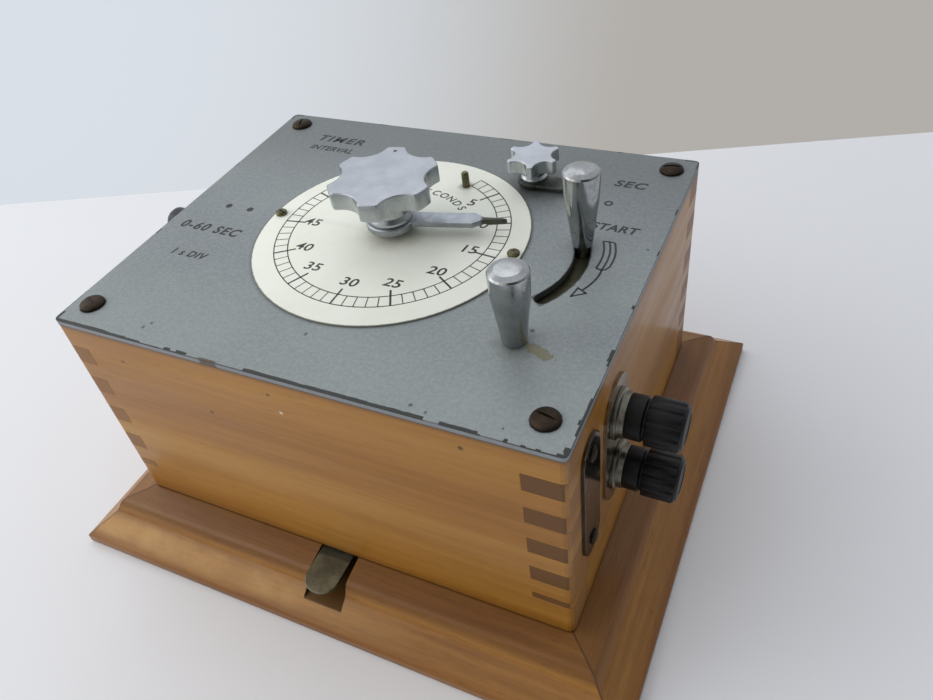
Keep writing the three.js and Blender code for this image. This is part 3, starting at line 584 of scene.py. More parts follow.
def plinth_wood(name, axis, seed, notch):
    tones = (rgb(172, 120, 50), rgb(150, 98, 36), rgb(122, 75, 24))
    mat = wood(name, axis, seed, tones, rgb(92, 58, 26), gloss=0.38, spots=0.9)
    x, y, z = mat.point.split()
    # painted shade in the hollow under the case; the slope is rubbed pale in places, and on the
    # front rail painted lighter towards the left, where more light falls
    mat.tint(z.rise(11.0, 14.5) * 0.42, rgb(84, 48, 10))
    slope = z.rise(4.0, 6.5) * z.fall(9.2, 11.2)
    wear = mat.point.stretch((1, 1, 1), (seed, 0, 0)).noise(0.06, detail=4)
    # painted light: the front rail's slope is lit more towards the left
    pale = x.fall(-45.0, 45.0) if notch else 0.0
    rubbed_and_lit = mat.lerp(wear.rise(0.32, 0.66), 0.45, 0.9) * mat.lerp(pale, 0.12, 0.85)
    mat.tint(slope * rubbed_and_lit, rgb(206, 160, 96))
    # mitre: an uneven dark glue line along the diagonal
    glue = 0.26
    diagonal = abs((abs(x) - CASE_X) - (abs(y) - CASE_Y)) * 0.7071
    uneven = mat.point.noise(0.5) * (glue * 1.9)
    mat.tint((diagonal - uneven).fall(-glue * 0.55, glue * 0.45) * 0.7, rgb(78, 46, 22))
    # painted shade along the bottom edge, where the plinth meets the table
    mat.tint(z.fall(0.0, 1.6) * 0.4, rgb(84, 54, 30))
    if notch:                                # painted shade inside the latch's recess
        beside = abs(x + 0.2) < 7.25
        behind = y > -81.25
        below = z < mat.lerp(y > -79.5, 12.6, 14.4)
        mat.tint((beside * behind) * (below * (z > 7.8)) * 0.72, rgb(58, 38, 20))
    return mat.finish(Coat_Weight=0.14, Coat_Roughness=0.16, Specular_IOR_Level=0.34)


def base_wood():
    tones = (rgb(176, 134, 88), rgb(150, 108, 66), rgb(124, 84, 46))
    return wood("wood_base_board", "x", 9.4, tones, rgb(98, 62, 34), gloss=0.55).finish()


# ================================================================ paint and print
# paint lost along each edge of the plate: where a stretch begins, how far in it is bare
FRONT_CHIPS = (
    (-80, 1.05), (-60, 0.85), (-52, 0.6), (-46.5, 0.2), (-39, 0.08), (-37.6, 0.95), (-35.4, 0.25),
    (-33.2, 0.9), (-29.7, 0.08), (-10.2, 0.98), (43.6, 0.05), (48, 0.92), (57.6, 0.25),
    (58.6, 0.06), (64, 1.0), (65.4, 0.08), (68.4, 0.55), (69.8, 0.2), (72.4, 0.6), (73.6, 0.2),
    (77.0, 0.9), (78.4, 1.5))
RIGHT_CHIPS = (
    (-65.5, 1.6), (-62.6, 0.12), (-59, 0.6), (-55.6, 1.2), (-54.2, 0.7), (-47, 0.2), (-43, 0.08),
    (-35, 0.55), (-33.5, 0.95), (-29, 0.1), (-12.6, 0.8), (-11.2, 0.08), (12, 0.4), (14, 0.08),
    (33, 0.55), (36, 0.08), (60, 0.5))
BACK_CHIPS = ((-80, 0.9), (-76, 0.15), (-41, 0.6), (-38, 0.08), (9, 0.5), (14, 0.1), (52, 0.7),
              (54, 0.12), (75, 0.8))
LEFT_CHIPS = ((-65.5, 1.2), (-61.5, 0.35), (-52, 0.1), (-20, 0.6), (-17, 0.08), (24, 0.5),
              (27, 0.1), (61.5, 0.85))
# grime from handling, with painted shade round the selector and the pillar's foot: centre, radius,
# strength, colour
HANDLING_AND_SHADE = (
    (SELECTOR, 14.5, 0.30, (74, 76, 68)), (SELECTOR, 10.5, 0.62, (50, 52, 44)),
    (PILLAR, 8.2, 0.5, (82, 84, 78)), (HANDLE, 9.0, 0.2, (88, 90, 84)))
PLATE_SPOTS = (((-49.7, -59.8), 0.75), ((-1.2, -47.8), 0.7))      # centre, radius


def enamel():
    mat = Material("enamel_blue_grey")
    point = mat.point
    x, y, z = point.split()
    plan = mat.at(x, y, 0.0)
    mottle = plan.noise(0.022, detail=4, rough=0.55)
    hammer = point.noise(0.95, rough=0.55, distortion=0.6)
    speck = point.noise(3.4, detail=2)
    mat.color = mottle.ramp(
        (0.32, rgb(124, 131, 133)), (0.5, rgb(132, 139, 140)), (0.68, rgb(141, 148, 148)))
    mat.tint(hammer.rise(0.36, 0.66) * 0.36, rgb(164, 170, 170))
    # painted light: paler towards the front
    mat.tint((y + mottle * 20.0).fall(-46.0, -14.0) * 0.22, rgb(166, 174, 168))
    mat.tint(speck.fall(0.26, 0.44) * 0.35, rgb(104, 112, 116))
    # painted shade round the dial's foot
    rim = abs(plan.distance(*DIAL_CENTRE) - DIAL_R).fall(0.0, 1.4)
    mat.tint(rim * 0.5, rgb(78, 82, 80))
    # grime from handling and painted shade round the selector and the pillar
    for centre, radius, strength, color in HANDLING_AND_SHADE:
        reach = plan.distance(*centre) + plan.noise(0.3) * 6.0
        mat.tint(reach.fall(radius - 3.5, radius + 3.5) * strength, rgb(*color))
    for centre, radius in PLATE_SPOTS:
        reach = plan.distance(*centre) + plan.noise(1.6, detail=2) * 0.8
        mat.tint(reach.fall(radius, radius + 0.5) * 0.8, rgb(70, 74, 72))
    pit = (plan.voronoi(0.075) + plan.noise(0.9) * 0.06).fall(0.062, 0.088)

    # chipped edges
    edge_x = CASE_X - abs(x)
    edge_y = CASE_Y - abs(y)
    edge = edge_x.min(edge_y)
    coarse = mat.at(x, y, z * 0.4).noise(0.16, detail=4, rough=0.62)
    fine = point.noise(0.8)
    ragged = coarse * 0.72 + fine * 0.28
    deepest = 2.5                            # the reach that a ramp value of 1 stands for

    def stretches(along, half, chips):
        wander = along + (fine - 0.5) * 1.6
        stops = [(max(0.0, (start + half) / (2 * half)), bare / deepest) for start, bare in chips]
        return ((wander + half) / (2 * half)).ramp(*stops, ease="CONSTANT")

    front = stretches(x, CASE_X, FRONT_CHIPS)
    right = stretches(y, CASE_Y, RIGHT_CHIPS)
    back = stretches(x, CASE_X, BACK_CHIPS)
    left = stretches(y, CASE_Y, LEFT_CHIPS)
    along_x = mat.lerp(y > 0.0, front, back)
    along_y = mat.lerp(x > 0.0, left, right)
    reach = mat.lerp(edge_y < edge_x, along_y, along_x) * deepest
    chip = (reach * (1.0 + (ragged - 0.5) * 1.1) - edge).rise(-0.03, 0.12)
    # chips show on the top and its arris, not down the edge
    chip = chip * z.rise(PLATE_TOP - 0.55, PLATE_TOP - 0.3)

    # rims of the screw holes and of the lever's arc slot
    hole_r = 3.85
    hole = reduce(Value.max, [
        (plan.distance(*centre) - fine * 0.7).fall(hole_r - 0.45, hole_r - 0.15)
        for centre in PLATE_SCREWS.values()])
    off_arc = abs(plan.distance(*PIVOT) - LEVER_R)
    pivot_x, pivot_y, _ = plan.minus((*PIVOT, 0)).split()
    angle = mat.math("ARCTAN2", pivot_y, pivot_x)
    in_arc = angle.rise(rad(-41), rad(-39)) * angle.fall(rad(27), rad(29))
    slot_rim = in_arc * (off_arc - fine * 0.9).fall(2.0, 2.25)

    # an oval of bare olive metal beside the pillar
    oval = plan.minus((62.0, -35.2, 0))
    oval_long = oval.dot((0.93, -0.37, 0))
    oval_short = oval.dot((0.37, 0.93, 0))
    spread = ((oval_long / 5.4) ** 2.0 + (oval_short / 1.9) ** 2.0).sqrt()
    bare = (spread + (plan.noise(0.55, detail=4, rough=0.7) - 0.5) * 2.4).fall(0.82, 1.0)
    dark_metal = mat.mix(point.noise(0.9), rgb(40, 44, 42), rgb(66, 70, 65))
    mat.tint(bare, mat.mix(plan.noise(1.1), rgb(112, 110, 86), rgb(134, 130, 104)))
    wear = chip.max(hole).max((pit * 0.75).max(slot_rim * 0.8))
    mat.tint(wear, dark_metal)

    # the sawn edge of the plate is paler, with rust at one place and painted shade along its foot
    border = edge < 0.35
    sawn = z.fall(PLATE_TOP - 0.5, PLATE_TOP - 0.3) * border
    mat.tint(sawn * 0.8, mat.mix(fine, rgb(150, 155, 160), rgb(126, 130, 134)))
    rust = x.rise(-25.5, -24.2) * x.fall(-19.6, -18.6) * (y < -64.9) * fine.rise(0.30, 0.42)
    mat.tint(rust * 0.85, rgb(84, 66, 48))
    low = z.fall(CASE_TOP + 0.15, CASE_TOP + 0.5) * border
    mat.tint(low * 0.75, rgb(44, 46, 46))
    # painted shade: darker towards the back
    mat.tint((y + mottle * 14.0).rise(16.0, 62.0) * 0.44, rgb(84, 88, 88))
    mat.rough = mat.lerp(wear, mat.lerp(mottle, 0.40, 0.52), 0.5)
    mat.metallic = mat.lerp(wear, 0.12, 0.35)
    mat.bump(hammer, strength=0.5, step=0.05)
    mat.bump(speck, strength=0.25, step=0.015)
    mat.bump(wear.max(bare), strength=0.8, step=-0.08)
    return mat.finish(Specular_IOR_Level=0.5)


def dial_paint():
    mat = Material("dial_ivory")
    x, y, z = mat.point.split()
    plan = mat.at(x, y, 0.0)
    cloud = plan.noise(0.05, detail=5)
    mat.color = cloud.ramp(
        (0.3, rgb(243, 246, 231)), (0.5, rgb(249, 251, 238)), (0.7, rgb(252, 253, 242)))
    # grime and painted shade under the knob, painted shade round the stop pin's foot, then fly
    # specks
    hub = plan.distance(*ARBOR) + plan.noise(0.25, detail=4, rough=0.65) * 7.0
    mat.tint(hub.fall(9.0, 17.0) * 0.4, rgb(150, 148, 118))
    pin = plan.distance(*STOP_PIN) + plan.noise(0.8, rough=0.65) * 2.0
    mat.tint(pin.fall(2.0, 4.4) * 0.65, rgb(96, 92, 64))
    fly = plan.voronoi(0.11) + plan.noise(1.3, detail=2) * 0.05
    mat.tint(fly.fall(0.045, 0.07) * 0.28, rgb(128, 122, 96))
    # worn rim, and painted shade on the lower part of the edge
    rim = (DIAL_R - plan.distance(*DIAL_CENTRE)) - plan.noise(0.7) * 0.45
    mat.tint(rim.fall(-0.1, 0.12) * 0.8, rgb(112, 114, 98))
    mat.tint(z.fall(DIAL_TOP - 0.42, DIAL_TOP - 0.22) * 0.6, rgb(96, 98, 88))
    mat.bump(mat.point.noise(0.9, rough=0.55), strength=0.22, step=0.03)
    mat.bump(mat.point.noise(4.0, detail=2), strength=0.12, step=0.01)
    mat.rough = cloud.ramp((0.3, 0.40), (0.7, 0.52))
    return mat.finish(Specular_IOR_Level=0.4)


def ink(name, base, faded, amount):
    mat = Material(name)
    broad = mat.point.noise(0.6, detail=4, rough=0.7)
    fine = mat.point.noise(2.6, rough=0.7)
    mat.color = mat.mix((broad * 0.6 + fine * 0.4).rise(0.50, 0.72) * amount, base, faded)
    mat.bump(fine, strength=0.2, step=0.01)
    mat.rough = mat.lerp(broad, 0.45, 0.65)
    return mat.finish()


ENAMEL = enamel()
DIAL_PAINT = dial_paint()
DIAL_INK = ink("ink_dial", rgb(52, 58, 52), rgb(150, 154, 142), amount=0.75)
PLATE_INK = ink("ink_plate", rgb(40, 42, 40), rgb(104, 108, 108), amount=0.6)


# ================================================================ metals
def metal(name, dark, light, rough, brush=None, scratch=0.5, tarnish=None, tarnished=0.0):
    """Worn metal. rough is (lowest, highest); scratch scales the nicks and lines.

    brush is the axis of fine lines, or (axis, centre) for lines turned about an axis.
    """
    mat = Material(name)
    point = mat.point
    dark, light = rgb(*dark), rgb(*light)
    mat.color = mat.mix(point.noise(0.12, detail=4).rise(0.35, 0.68), dark, light)
    if isinstance(brush, tuple):
        axis, centre = brush
        x, y, z = point.split()
        a, b, height = (x, y, z * 1.5) if axis == "z" else (y, z, x * 4.0)
        a, b = a - centre[0], b - centre[1]
        radius = (a * a + b * b).sqrt()
        line = mat.at(radius * 5.0, mat.math("ARCTAN2", b, a) * 0.35, height).noise(1.0)
    else:
        scales = {"x": (0.06, 5, 5), "y": (5, 0.06, 5), "z": (5, 5, 0.06)}
        line = point.stretch(scales.get(brush, (1.6, 1.6, 1.6))).noise(1.0)
    mat.tint(line.rise(0.40, 0.7) * 0.22, dark)
    nick = (point.voronoi(0.28) + point.noise(2.2, detail=2) * 0.10).fall(0.075, 0.13)
    mat.tint(nick * (0.55 * scratch), mat.mix(0.6, dark, (0.02, 0.02, 0.02, 1)))
    mat.rough = mat.lerp(point.noise(0.35, detail=4, rough=0.65).rise(0.3, 0.7), *rough)
    mat.metallic = 1.0
    if tarnish:
        film = point.noise(0.42, detail=5, rough=0.68).rise(0.42, 0.66) * tarnished
        mat.tint(film, rgb(*tarnish))
        mat.rough = mat.lerp(film, mat.rough, 0.6)
        mat.metallic = mat.lerp(film, 1.0, 0.45)
    mat.bump(line, strength=0.25 * scratch + 0.05, step=0.012)
    mat.bump(nick, strength=0.5 * scratch, step=-0.04)
    return mat


def star_metal(name, dark, light, centre, dimple=None):
    """Satin on top, polished and duller-toned down the lobes' sides."""
    mat = metal(name, dark, light, (0.30, 0.38), ("z", centre))
    side = mat.normal().split()[2].fall(0.25, 0.8)
    mat.tint(side * 0.5, rgb(196, 200, 200))
    mat.rough = mat.lerp(side, mat.rough, 0.27)
    if dimple:
        x, y, _ = mat.point.split()
        pit = mat.at(x, y, 0.0).distance(*dimple).fall(0.42, 0.72) * (1.0 - side)
        mat.tint(pit * 0.85, rgb(44, 46, 46))
        mat.bump(pit, strength=0.8, step=-0.2)
    return mat.finish()


def hand_metal():
    """Bright, with a dull dark tip."""
    mat = metal("aluminium_hand", (144, 149, 155), (161, 166, 171), (0.26, 0.36), scratch=0.3)
    x, y, _ = mat.point.split()
    tip = mat.at(x, y, 0.0).distance(*ARBOR).rise(28.2, 29.4)
    mat.tint(tip, mat.mix(mat.point.noise(1.2), rgb(64, 68, 58), rgb(88, 92, 80)))
    mat.rough = mat.lerp(tip, mat.rough, 0.5)
    mat.metallic = mat.lerp(tip, mat.metallic, 0.5)
    return mat.finish()


def latch_metal():
    """Grey brass, with painted shade along a fold just in front of the case."""
    mat = metal("latch_grey_brass", (100, 101, 86), (134, 134, 114), (0.28, 0.44), "y", 0.7,
                (64, 64, 54), 0.45)
    y = mat.point.split()[1]
    # painted shade in a band just in front of the case's front
    mat.tint(y.rise(-68.6, -67.6) * y.fall(-66.0, -65.2) * 0.6, rgb(38, 38, 32))
    return mat.finish()


# name: dark and light tone, roughness range, brush, scratch, tarnish tone and amount
METAL_TABLE = {
    "aluminium_pointer":
        ((78, 80, 76), (112, 114, 110), (0.32, 0.48), None, 0.7, (58, 56, 46), 0.45),
    "nickel_handle":
        ((156, 158, 159), (176, 178, 179), (0.10, 0.19), None, 1.0, (100, 98, 88), 0.22),
    "nickel_pillar":
        ((160, 162, 163), (184, 186, 187), (0.12, 0.22), None, 1.0, (100, 100, 92), 0.2),
    "nickel_collar":
        ((110, 108, 98), (126, 124, 113), (0.24, 0.36), ("x", POSTS["upper"]), 0.4,
         (112, 106, 88), 0.2),
    "oxidised_screw":
        ((52, 44, 36), (78, 66, 54), (0.42, 0.58), None, 1.0, (44, 30, 20), 0.85),
    "nickel_side_plate":
        ((150, 140, 126), (164, 154, 140), (0.10, 0.17), "z", 0.3, (112, 96, 78), 0.12),
    "steel_cover_plate":
        ((92, 88, 80), (106, 100, 90), (0.09, 0.16), "z", 0.3, (76, 68, 56), 0.12),
    "steel_bright": ((128, 130, 134), (160, 162, 166), (0.24, 0.42), None, 0.6),
    "steel_spring": ((60, 66, 84), (92, 98, 112), (0.22, 0.36), None, 0.5),
    "brass_movement":
        ((168, 132, 66), (204, 168, 98), (0.24, 0.42), "x", 0.5, (110, 84, 44), 0.35),
    "brass_aged":
        ((104, 98, 70), (142, 134, 96), (0.26, 0.42), "y", 0.7, (64, 60, 42), 0.5),
    "brass_pin":
        ((96, 92, 66), (132, 126, 92), (0.28, 0.42), None, 0.8, (50, 48, 34), 0.6),
    "steel_olive_shutter":
        ((82, 80, 64), (106, 103, 84), (0.42, 0.58), None, 0.5, (60, 58, 46), 0.4),
    "steel_button":
        ((60, 62, 66), (88, 90, 94), (0.26, 0.40), None, 0.6, (46, 42, 38), 0.4),
}
METALS = {name: metal(name, *row).finish() for name, row in METAL_TABLE.items()}
KNOB_METAL = star_metal("aluminium_knob", (162, 166, 172), (174, 178, 184), ARBOR,
                        dimple=polar(ARBOR, 14.0, 102))
SELECTOR_METAL = star_metal("aluminium_selector", (178, 182, 187), (190, 194, 200), SELECTOR)
HAND_METAL = hand_metal()


# ================================================================ insulators
def bakelite():
    mat = Material("bakelite_black")
    broad = mat.point.noise(0.35, detail=4)
    fine = mat.point.noise(3.0)
    mat.color = mat.mix(broad.rise(0.35, 0.7), rgb(9, 9, 10), rgb(15, 15, 16))
    scuff = mat.point.stretch((0.4, 3.0, 3.0)).noise(1.0, rough=0.7)
    mat.tint(scuff.rise(0.64, 0.78) * 0.25, rgb(62, 62, 64))
    mat.bump(fine, strength=0.22, step=0.015)
    mat.bump(broad, strength=0.25, step=0.05)
    mat.rough = mat.lerp(fine.rise(0.3, 0.7), 0.38, 0.54)
    return mat.finish(Specular_IOR_Level=0.30)


def fibre():
    mat = Material("fibre_insulator")
    strand = mat.point.stretch((0.15, 1, 1)).noise(1.4, detail=5, rough=0.65)
    mat.color = mat.mix(strand, rgb(84, 44, 26), rgb(128, 72, 42))
    mat.bump(strand, strength=0.3, step=0.03)
    mat.rough = mat.lerp(strand, 0.5, 0.7)
    return mat.finish()


BAKELITE = bakelite()

# ================================================================ case and plinth
# knocks on the front: x, z, radius, colour
FRONT_MARKS = ((-1.9, 83.2, 0.75, (226, 216, 196)), (-29.7, 73.9, 0.85, (70, 40, 20)),
               (52.9, 90.0, 0.9, (66, 38, 20)), (-4.1, 89.6, 0.7, (70, 40, 20)))
# node, grain axis, seed, end grain, streak, marks
for node, *look, end, streak, marks in (
    ("case_front", "x", 1.0, (160, 112, 60), 0.6, FRONT_MARKS),
    ("case_rear", "x", 2.3, (140, 95, 52), 0.9, ()),
    ("case_left", "y", 3.7, (150, 104, 56), 0.9, ()),
    # the right board's end grain is painted darker than the others', as shade on the case's right
    ("case_right", "y", 4.9, (98, 64, 20), 0.9, ()),
):
    dress(node, case_wood("wood_" + node, *look, rgb(*end), streak, marks), 0.28, 3, planar=True)
dress("base_board", base_wood(), 0.4)
dress("top_plate", ENAMEL, 0.32, 3)

# moulding: distance out from the case side, height, corner radius
MOULDING = [
    (-14, 0.0), (20.85, 0.0, 0.3), (21, 0.35, 0.2), (21, 3.4, 0.5), (20.3, 4.15, 0.6),
    (11.4, 10.7, 0.8), (10.6, 11.9, 0.7), (9.9, 13.6, 1.0), (9.0, 14.9, 1.0), (7.8, 15.5, 1.2),
    (0.3, 16.96, 0.5), (-1.0, 17.0), (-14, 17.0)]


def rail(side, half_length, half_depth, turn, axis, seed, notch=False):
    """A mitred rail, built along x at the front of a frame and turned about z."""
    profile = fillet(MOULDING, 0.4, 4)
    mitre_gap, steps = 0.04, 40
    verts, size = [], len(profile)
    for i in range(steps + 1):
        for out, z in profile:
            half = half_length + out - mitre_gap
            verts.append((-half + 2 * half * (i / steps), -(half_depth + out), z))
    faces = loft(steps + 1, size)
    for triangle in tessellate_polygon([[Vector((out, z, 0)) for out, z in profile]]):
        faces.append(tuple(triangle))
        faces.append(tuple(steps * size + i for i in reversed(triangle)))
    obj = make(f"plinth_{side}_rail", placed(verts, (0, 0), turn), faces, 30)
    if notch:                                # the latch's recess, and a wider one behind it
        cut_box(obj, (14.2, 35.6, 12.0), (-0.2, -81.1 + 35.6 / 2, 14.0))
        cut_box(obj, (22.6, 3.1, 3.1), (-0.2, -63.5, 14.8))
    bevel(obj, 0.12, 2, 40)
    material = plinth_wood("wood_plinth_" + side, axis, seed, notch)
    put(obj, "case", material, "plinth_wood", "plinth_" + side)


rail("front", CASE_X, CASE_Y, 0, "x", 5.3, notch=True)
rail("rear", CASE_X, CASE_Y, 180, "x", 6.1)
rail("right", CASE_Y, CASE_X, 90, "y", 7.7)
rail("left", CASE_Y, CASE_X, -90, "y", 8.9)

# ================================================================ dial
disc_holes = [circle(ARBOR, 3.4, 24), circle(STOP_PIN, 1.35, 16)]
disc_holes += [circle(c, 1.1, 16) for c in DIAL_SCREWS]
disc_levels = [(PLATE_TOP, 0.1), (PLATE_TOP + 0.08, 0.0), (DIAL_TOP - 0.14, 0.0),
               (DIAL_TOP - 0.04, 0.04), (DIAL_TOP, 0.14)]
disc = stack("dial_disc", circle(DIAL_CENTRE, DIAL_R, 180), disc_levels, disc_holes, angle=32)
put(disc, "case", DIAL_PAINT, "dial", "dial")


# ---------------------------------------------------------------- printing
# Each printed part is (vertices, faces); a vertex is x, y and 0 for its foot or 1 for its top.
def strip(sides):
    """A flat band between pairs of points."""
    verts = []
    for first, second in sides:
        verts += [(*first, 0), (*second, 0), (*second, 1), (*first, 1)]
    last = len(verts) - 4
    caps = [(3, 2, 1, 0), (last, last + 1, last + 2, last + 3)]
    return verts, loft(len(sides), 4) + caps


def arc(centre, inner, outer, start, end, steps):
    """A flat ring sector, angles in degrees from +x."""
    angles = [start + (end - start) * i / steps for i in range(steps + 1)]
    return strip([(polar(centre, inner, a), polar(centre, outer, a)) for a in angles])


def stroke(points, width):
    sides = []
    for i, (x, y) in enumerate(points):
        before = Vector(points[max(0, i - 1)])
        after = Vector(points[min(len(points) - 1, i + 1)])
        along = (after - before).normalized()
        out = Vector((-along.y, along.x)) * (width / 2)
        sides.append(((x - out.x, y - out.y), (x + out.x, y + out.y)))
    return strip(sides)


def glyphs(text, size, centre, turn, shear, bold, spread, width):
    """A word as closed flat letters; size is the capital height, width stretches it along."""
    curve = bpy.data.curves.new("glyphs", "FONT")
    curve.body, curve.size, curve.shear = text, 1.0, shear
    curve.align_x, curve.align_y = "CENTER", "CENTER"
    curve.extrude, curve.resolution_u = 0.5, 5
    curve.space_character, curve.offset = spread, bold
    obj = link(bpy.data.objects.new("glyphs", curve))
    graph = bpy.context.evaluated_depsgraph_get()
    mesh = bpy.data.meshes.new_from_object(obj.evaluated_get(graph))
    bm = bmesh.new()
    bm.from_mesh(mesh)
    bmesh.ops.remove_doubles(bm, verts=bm.verts, dist=1e-5)
    scale = size / 0.729                     # capital height of the built-in face
    verts = [(v.co.x * scale * width, v.co.y * scale, int(v.co.z > 0)) for v in bm.verts]
    faces = [tuple(v.index for v in f.verts) for f in bm.faces]
    bm.free()
    bpy.data.objects.remove(obj)
    bpy.data.curves.remove(curve)
    bpy.data.meshes.remove(mesh)
    return placed(verts, centre, turn), faces


def printed(name, parts, foot, top):
    """All parts as one object, between two heights."""
    verts, faces = [], []
    for part_verts, part_faces in parts:
        start = len(verts)
        verts += [(x, y, top if up else foot) for x, y, up in part_verts]
        faces += [tuple(i + start for i in face) for face in part_faces]
    return make(name, verts, faces, 30, weld=False)


# ---------------------------------------------------------------- dial print
SCALE_CENTRE = (-1.3, 2.5)
SCALE_ZERO, FIVE_SECONDS = 13.85, 27.69      # clockwise from the back
NUMERAL_R = {5: 27.0, 10: 27.0, 40: 28.4, 45: 28.4}          # the others are at 27.7


def dial_angle(seconds):
    return 90.0 - (SCALE_ZERO + FIVE_SECONDS * seconds / 5.0)


def dial_print():
    parts = [arc(SCALE_CENTRE, inner, inner + 0.35, dial_angle(60), dial_angle(2), steps)
             for inner, steps in ((37.25, 150), (32.9, 140))]
    for second in range(2, 61):
        inner, width = (33.1, 0.3) if second % 5 else (30.4, 0.6)
        angle = dial_angle(second)
        ends = [polar(SCALE_CENTRE, r, angle) for r in (inner, 37.4)]
        parts.append(stroke(ends, width))
    for second in range(5, 61, 5):
        centre = polar(ARBOR, NUMERAL_R.get(second, 27.7), dial_angle(second))
        if second == 35:
            centre = (-15.9, -21.2)
        parts.append(glyphs(str(second), 3.7, centre, turn=0, shear=0.10, bold=0.014,
                            spread=1.04, width=1.12))
    word = "SECONDS"
    for i, letter in enumerate(word):
        angle = 90 - (44 - (len(word) - 1 - i) * 8.6)
        parts.append(glyphs(letter, 2.8, polar(ARBOR, 22.9, angle), turn=angle - 90, shear=0.12,
                            bold=0.012, spread=1.0, width=1.02))
    return parts


put(printed("dial_print", dial_print(), DIAL_TOP - 0.01, DIAL_TOP + 0.035),
    "case", DIAL_INK, "dial")

# ---------------------------------------------------------------- plate print
# word, capital height, centre, turn, shear, bold, letter spread, width
WORDS = (
    ("SEC", 3.6, (62.2, 46.2), -1, 0.2, 0.03, 1.14, 1.14),
    ("START", 3.4, (64.2, 21.8), -1, 0.2, 0.03, 1.06, 1.0),
    ("TIMER", 3.9, (-49.6, 50.6), -1, 0.2, 0.03, 1.22, 1.17),
    ("INTERVAL", 3.0, (-49.8, 43.9), -1, 0.2, 0.026, 1.07, 0.93),
    ("0-60 SEC", 4.0, (-62.8, -12.4), -1, 0.2, 0.03, 1.22, 0.96),
    ("1 s DIV", 3.0, (-60.6, -26.3), -1, 0.16, 0.03, 1.12, 0.98),
)


def bow(start, middle, end, steps=12):
    """A curve from start to end through middle."""
    start, middle, end = map(Vector, (start, middle, end))
    return bezier(start, middle * 2 - (start + end) / 2, end, steps)


def arrow():
    """Three bowed lines tied at both ends, a thin tail and an open triangle at its tip."""
    left = bow((63.2, 14.8), (65.1, 8.6), (65.1, 1.9))
    middle = bow((65.0, 15.0), (66.9, 8.7), (66.8, 1.4))
    right = bow((66.7, 14.9), (68.5, 9.0), (68.5, 3.2))
    ties = [left[0], middle[0], right[0]], [left[-1], middle[-1], (67.7, 1.9), right[-1]]
    parts = [stroke(line, 0.6) for line in (left, middle, right, *ties)]
    parts.append(stroke(bow((66.9, 1.3), (66.5, -3.4), (64.6, -8.4), 10), 0.62))
    corners = [Vector(p) for p in ((62.4, -11.9), (63.1, -7.9), (65.9, -9.5))]
    for a, b in zip(corners, corners[1:] + corners[:1]):
        overrun = (b - a).normalized() * 0.18
        parts.append(stroke([tuple(a - overrun), tuple(b + overrun)], 0.58))
    return parts


plate_parts = [glyphs(*row) for row in WORDS]
plate_parts.append(arc((58.8, 34.4), 0.72, 1.4, 0, 360, 28))
for x in (-64.75, -55.85):                   # two dots left of the dial
    plate_parts.append(arc((x, 1.0), 0.0001, 1.2, 0, 360, 24))
put(printed("plate_print", plate_parts + arrow(), PLATE_TOP - 0.01, PLATE_TOP + 0.03),
    "case", PLATE_INK, "enamel")


# ================================================================ screws and stop pin
def screw(name, profile, segments, centre, top, slot, turn, ease, axis="z"):
    """A turned screw; slot is (length, width, height of the cutter centred on top)."""
    obj = lathe(name, profile, segments, centre, axis)
    length, width, height = slot
    if axis == "z":
        cut_box(obj, (length, width, height), (*centre, top), turn, "Z")
    else:
        cut_box(obj, (height, length, width), (top, *centre), turn, "X")
    bevel(obj, ease, 2, 40)
    return obj


# profiles are (radius, height), with a corner radius where a third number stands
DOME_BASE = PLATE_TOP + 0.45
dome = [(3.74 * math.cos(rad(t)), DOME_BASE + 1.35 * math.sin(rad(t))) for t in range(4, 90, 7)]
plate_screw = [(0, 89), (1.2, 89.0), (1.9, 89.8), (1.9, PLATE_TOP), (3.6, PLATE_TOP),
               (3.74, PLATE_TOP + 0.2), (3.74, DOME_BASE)] + dome + [(0, PLATE_TOP + 1.8)]
for (corner, centre), turn in zip(PLATE_SCREWS.items(), (152, 168, 110, 190)):
    put(screw("plate_screw_head_" + corner, plate_screw, 48, centre, PLATE_TOP + 1.75,
              (12, 0.8, 1.0), turn, 0.07),
        "case", METALS["oxidised_screw"], "dark_steel", "plate_screw_" + corner)

dial_screw = fillet(
    [(0, CASE_TOP - 0.4), (1.0, CASE_TOP - 0.4), (1.0, DIAL_TOP), (1.9, DIAL_TOP),
     (1.9, DIAL_TOP + 0.75), (1.45, DIAL_TOP + 1.2), (0, DIAL_TOP + 1.42)], 0.25, 3)
for side, centre, turn in zip("lr", DIAL_SCREWS, (160, 125)):
    put(screw("dial_screw_head_" + side, dial_screw, 36, centre, DIAL_TOP + 1.4,
              (8, 0.5, 1.4), turn, 0.05),
        "case", METALS["brass_pin"], "aged_brass", "dial_screw_" + side)

stop_pin = [(0, CASE_TOP), (1.25, CASE_TOP), (1.25, PLATE_TOP + 5.1), (0.85, PLATE_TOP + 5.72),
            (0, PLATE_TOP + 5.8)]
put(lathe("stop_pin_turned", fillet(stop_pin, 0.3, 4), 32, STOP_PIN),
    "case", METALS["brass_pin"], "aged_brass", "stop_pin")

cover_screw = fillet(
    [(0, CASE_X - 8), (1.15, CASE_X - 7.4), (1.15, CASE_X + 1), (2.3, CASE_X + 1),
     (2.28, CASE_X + 1.4), (1.6, CASE_X + 1.9), (0, CASE_X + 2.1)], 0.3, 3)
for place, z, turn in (("lower", 46.6, 15), ("upper", 82.0, 40)):
    put(screw("cover_screw_head_" + place, cover_screw, 36, (-50.5, z), CASE_X + 2.1,
              (8, 0.5, 1.3), turn, 0.05, "x"),
        "case", METALS["oxidised_screw"], "dark_steel", "cover_screw_" + place)

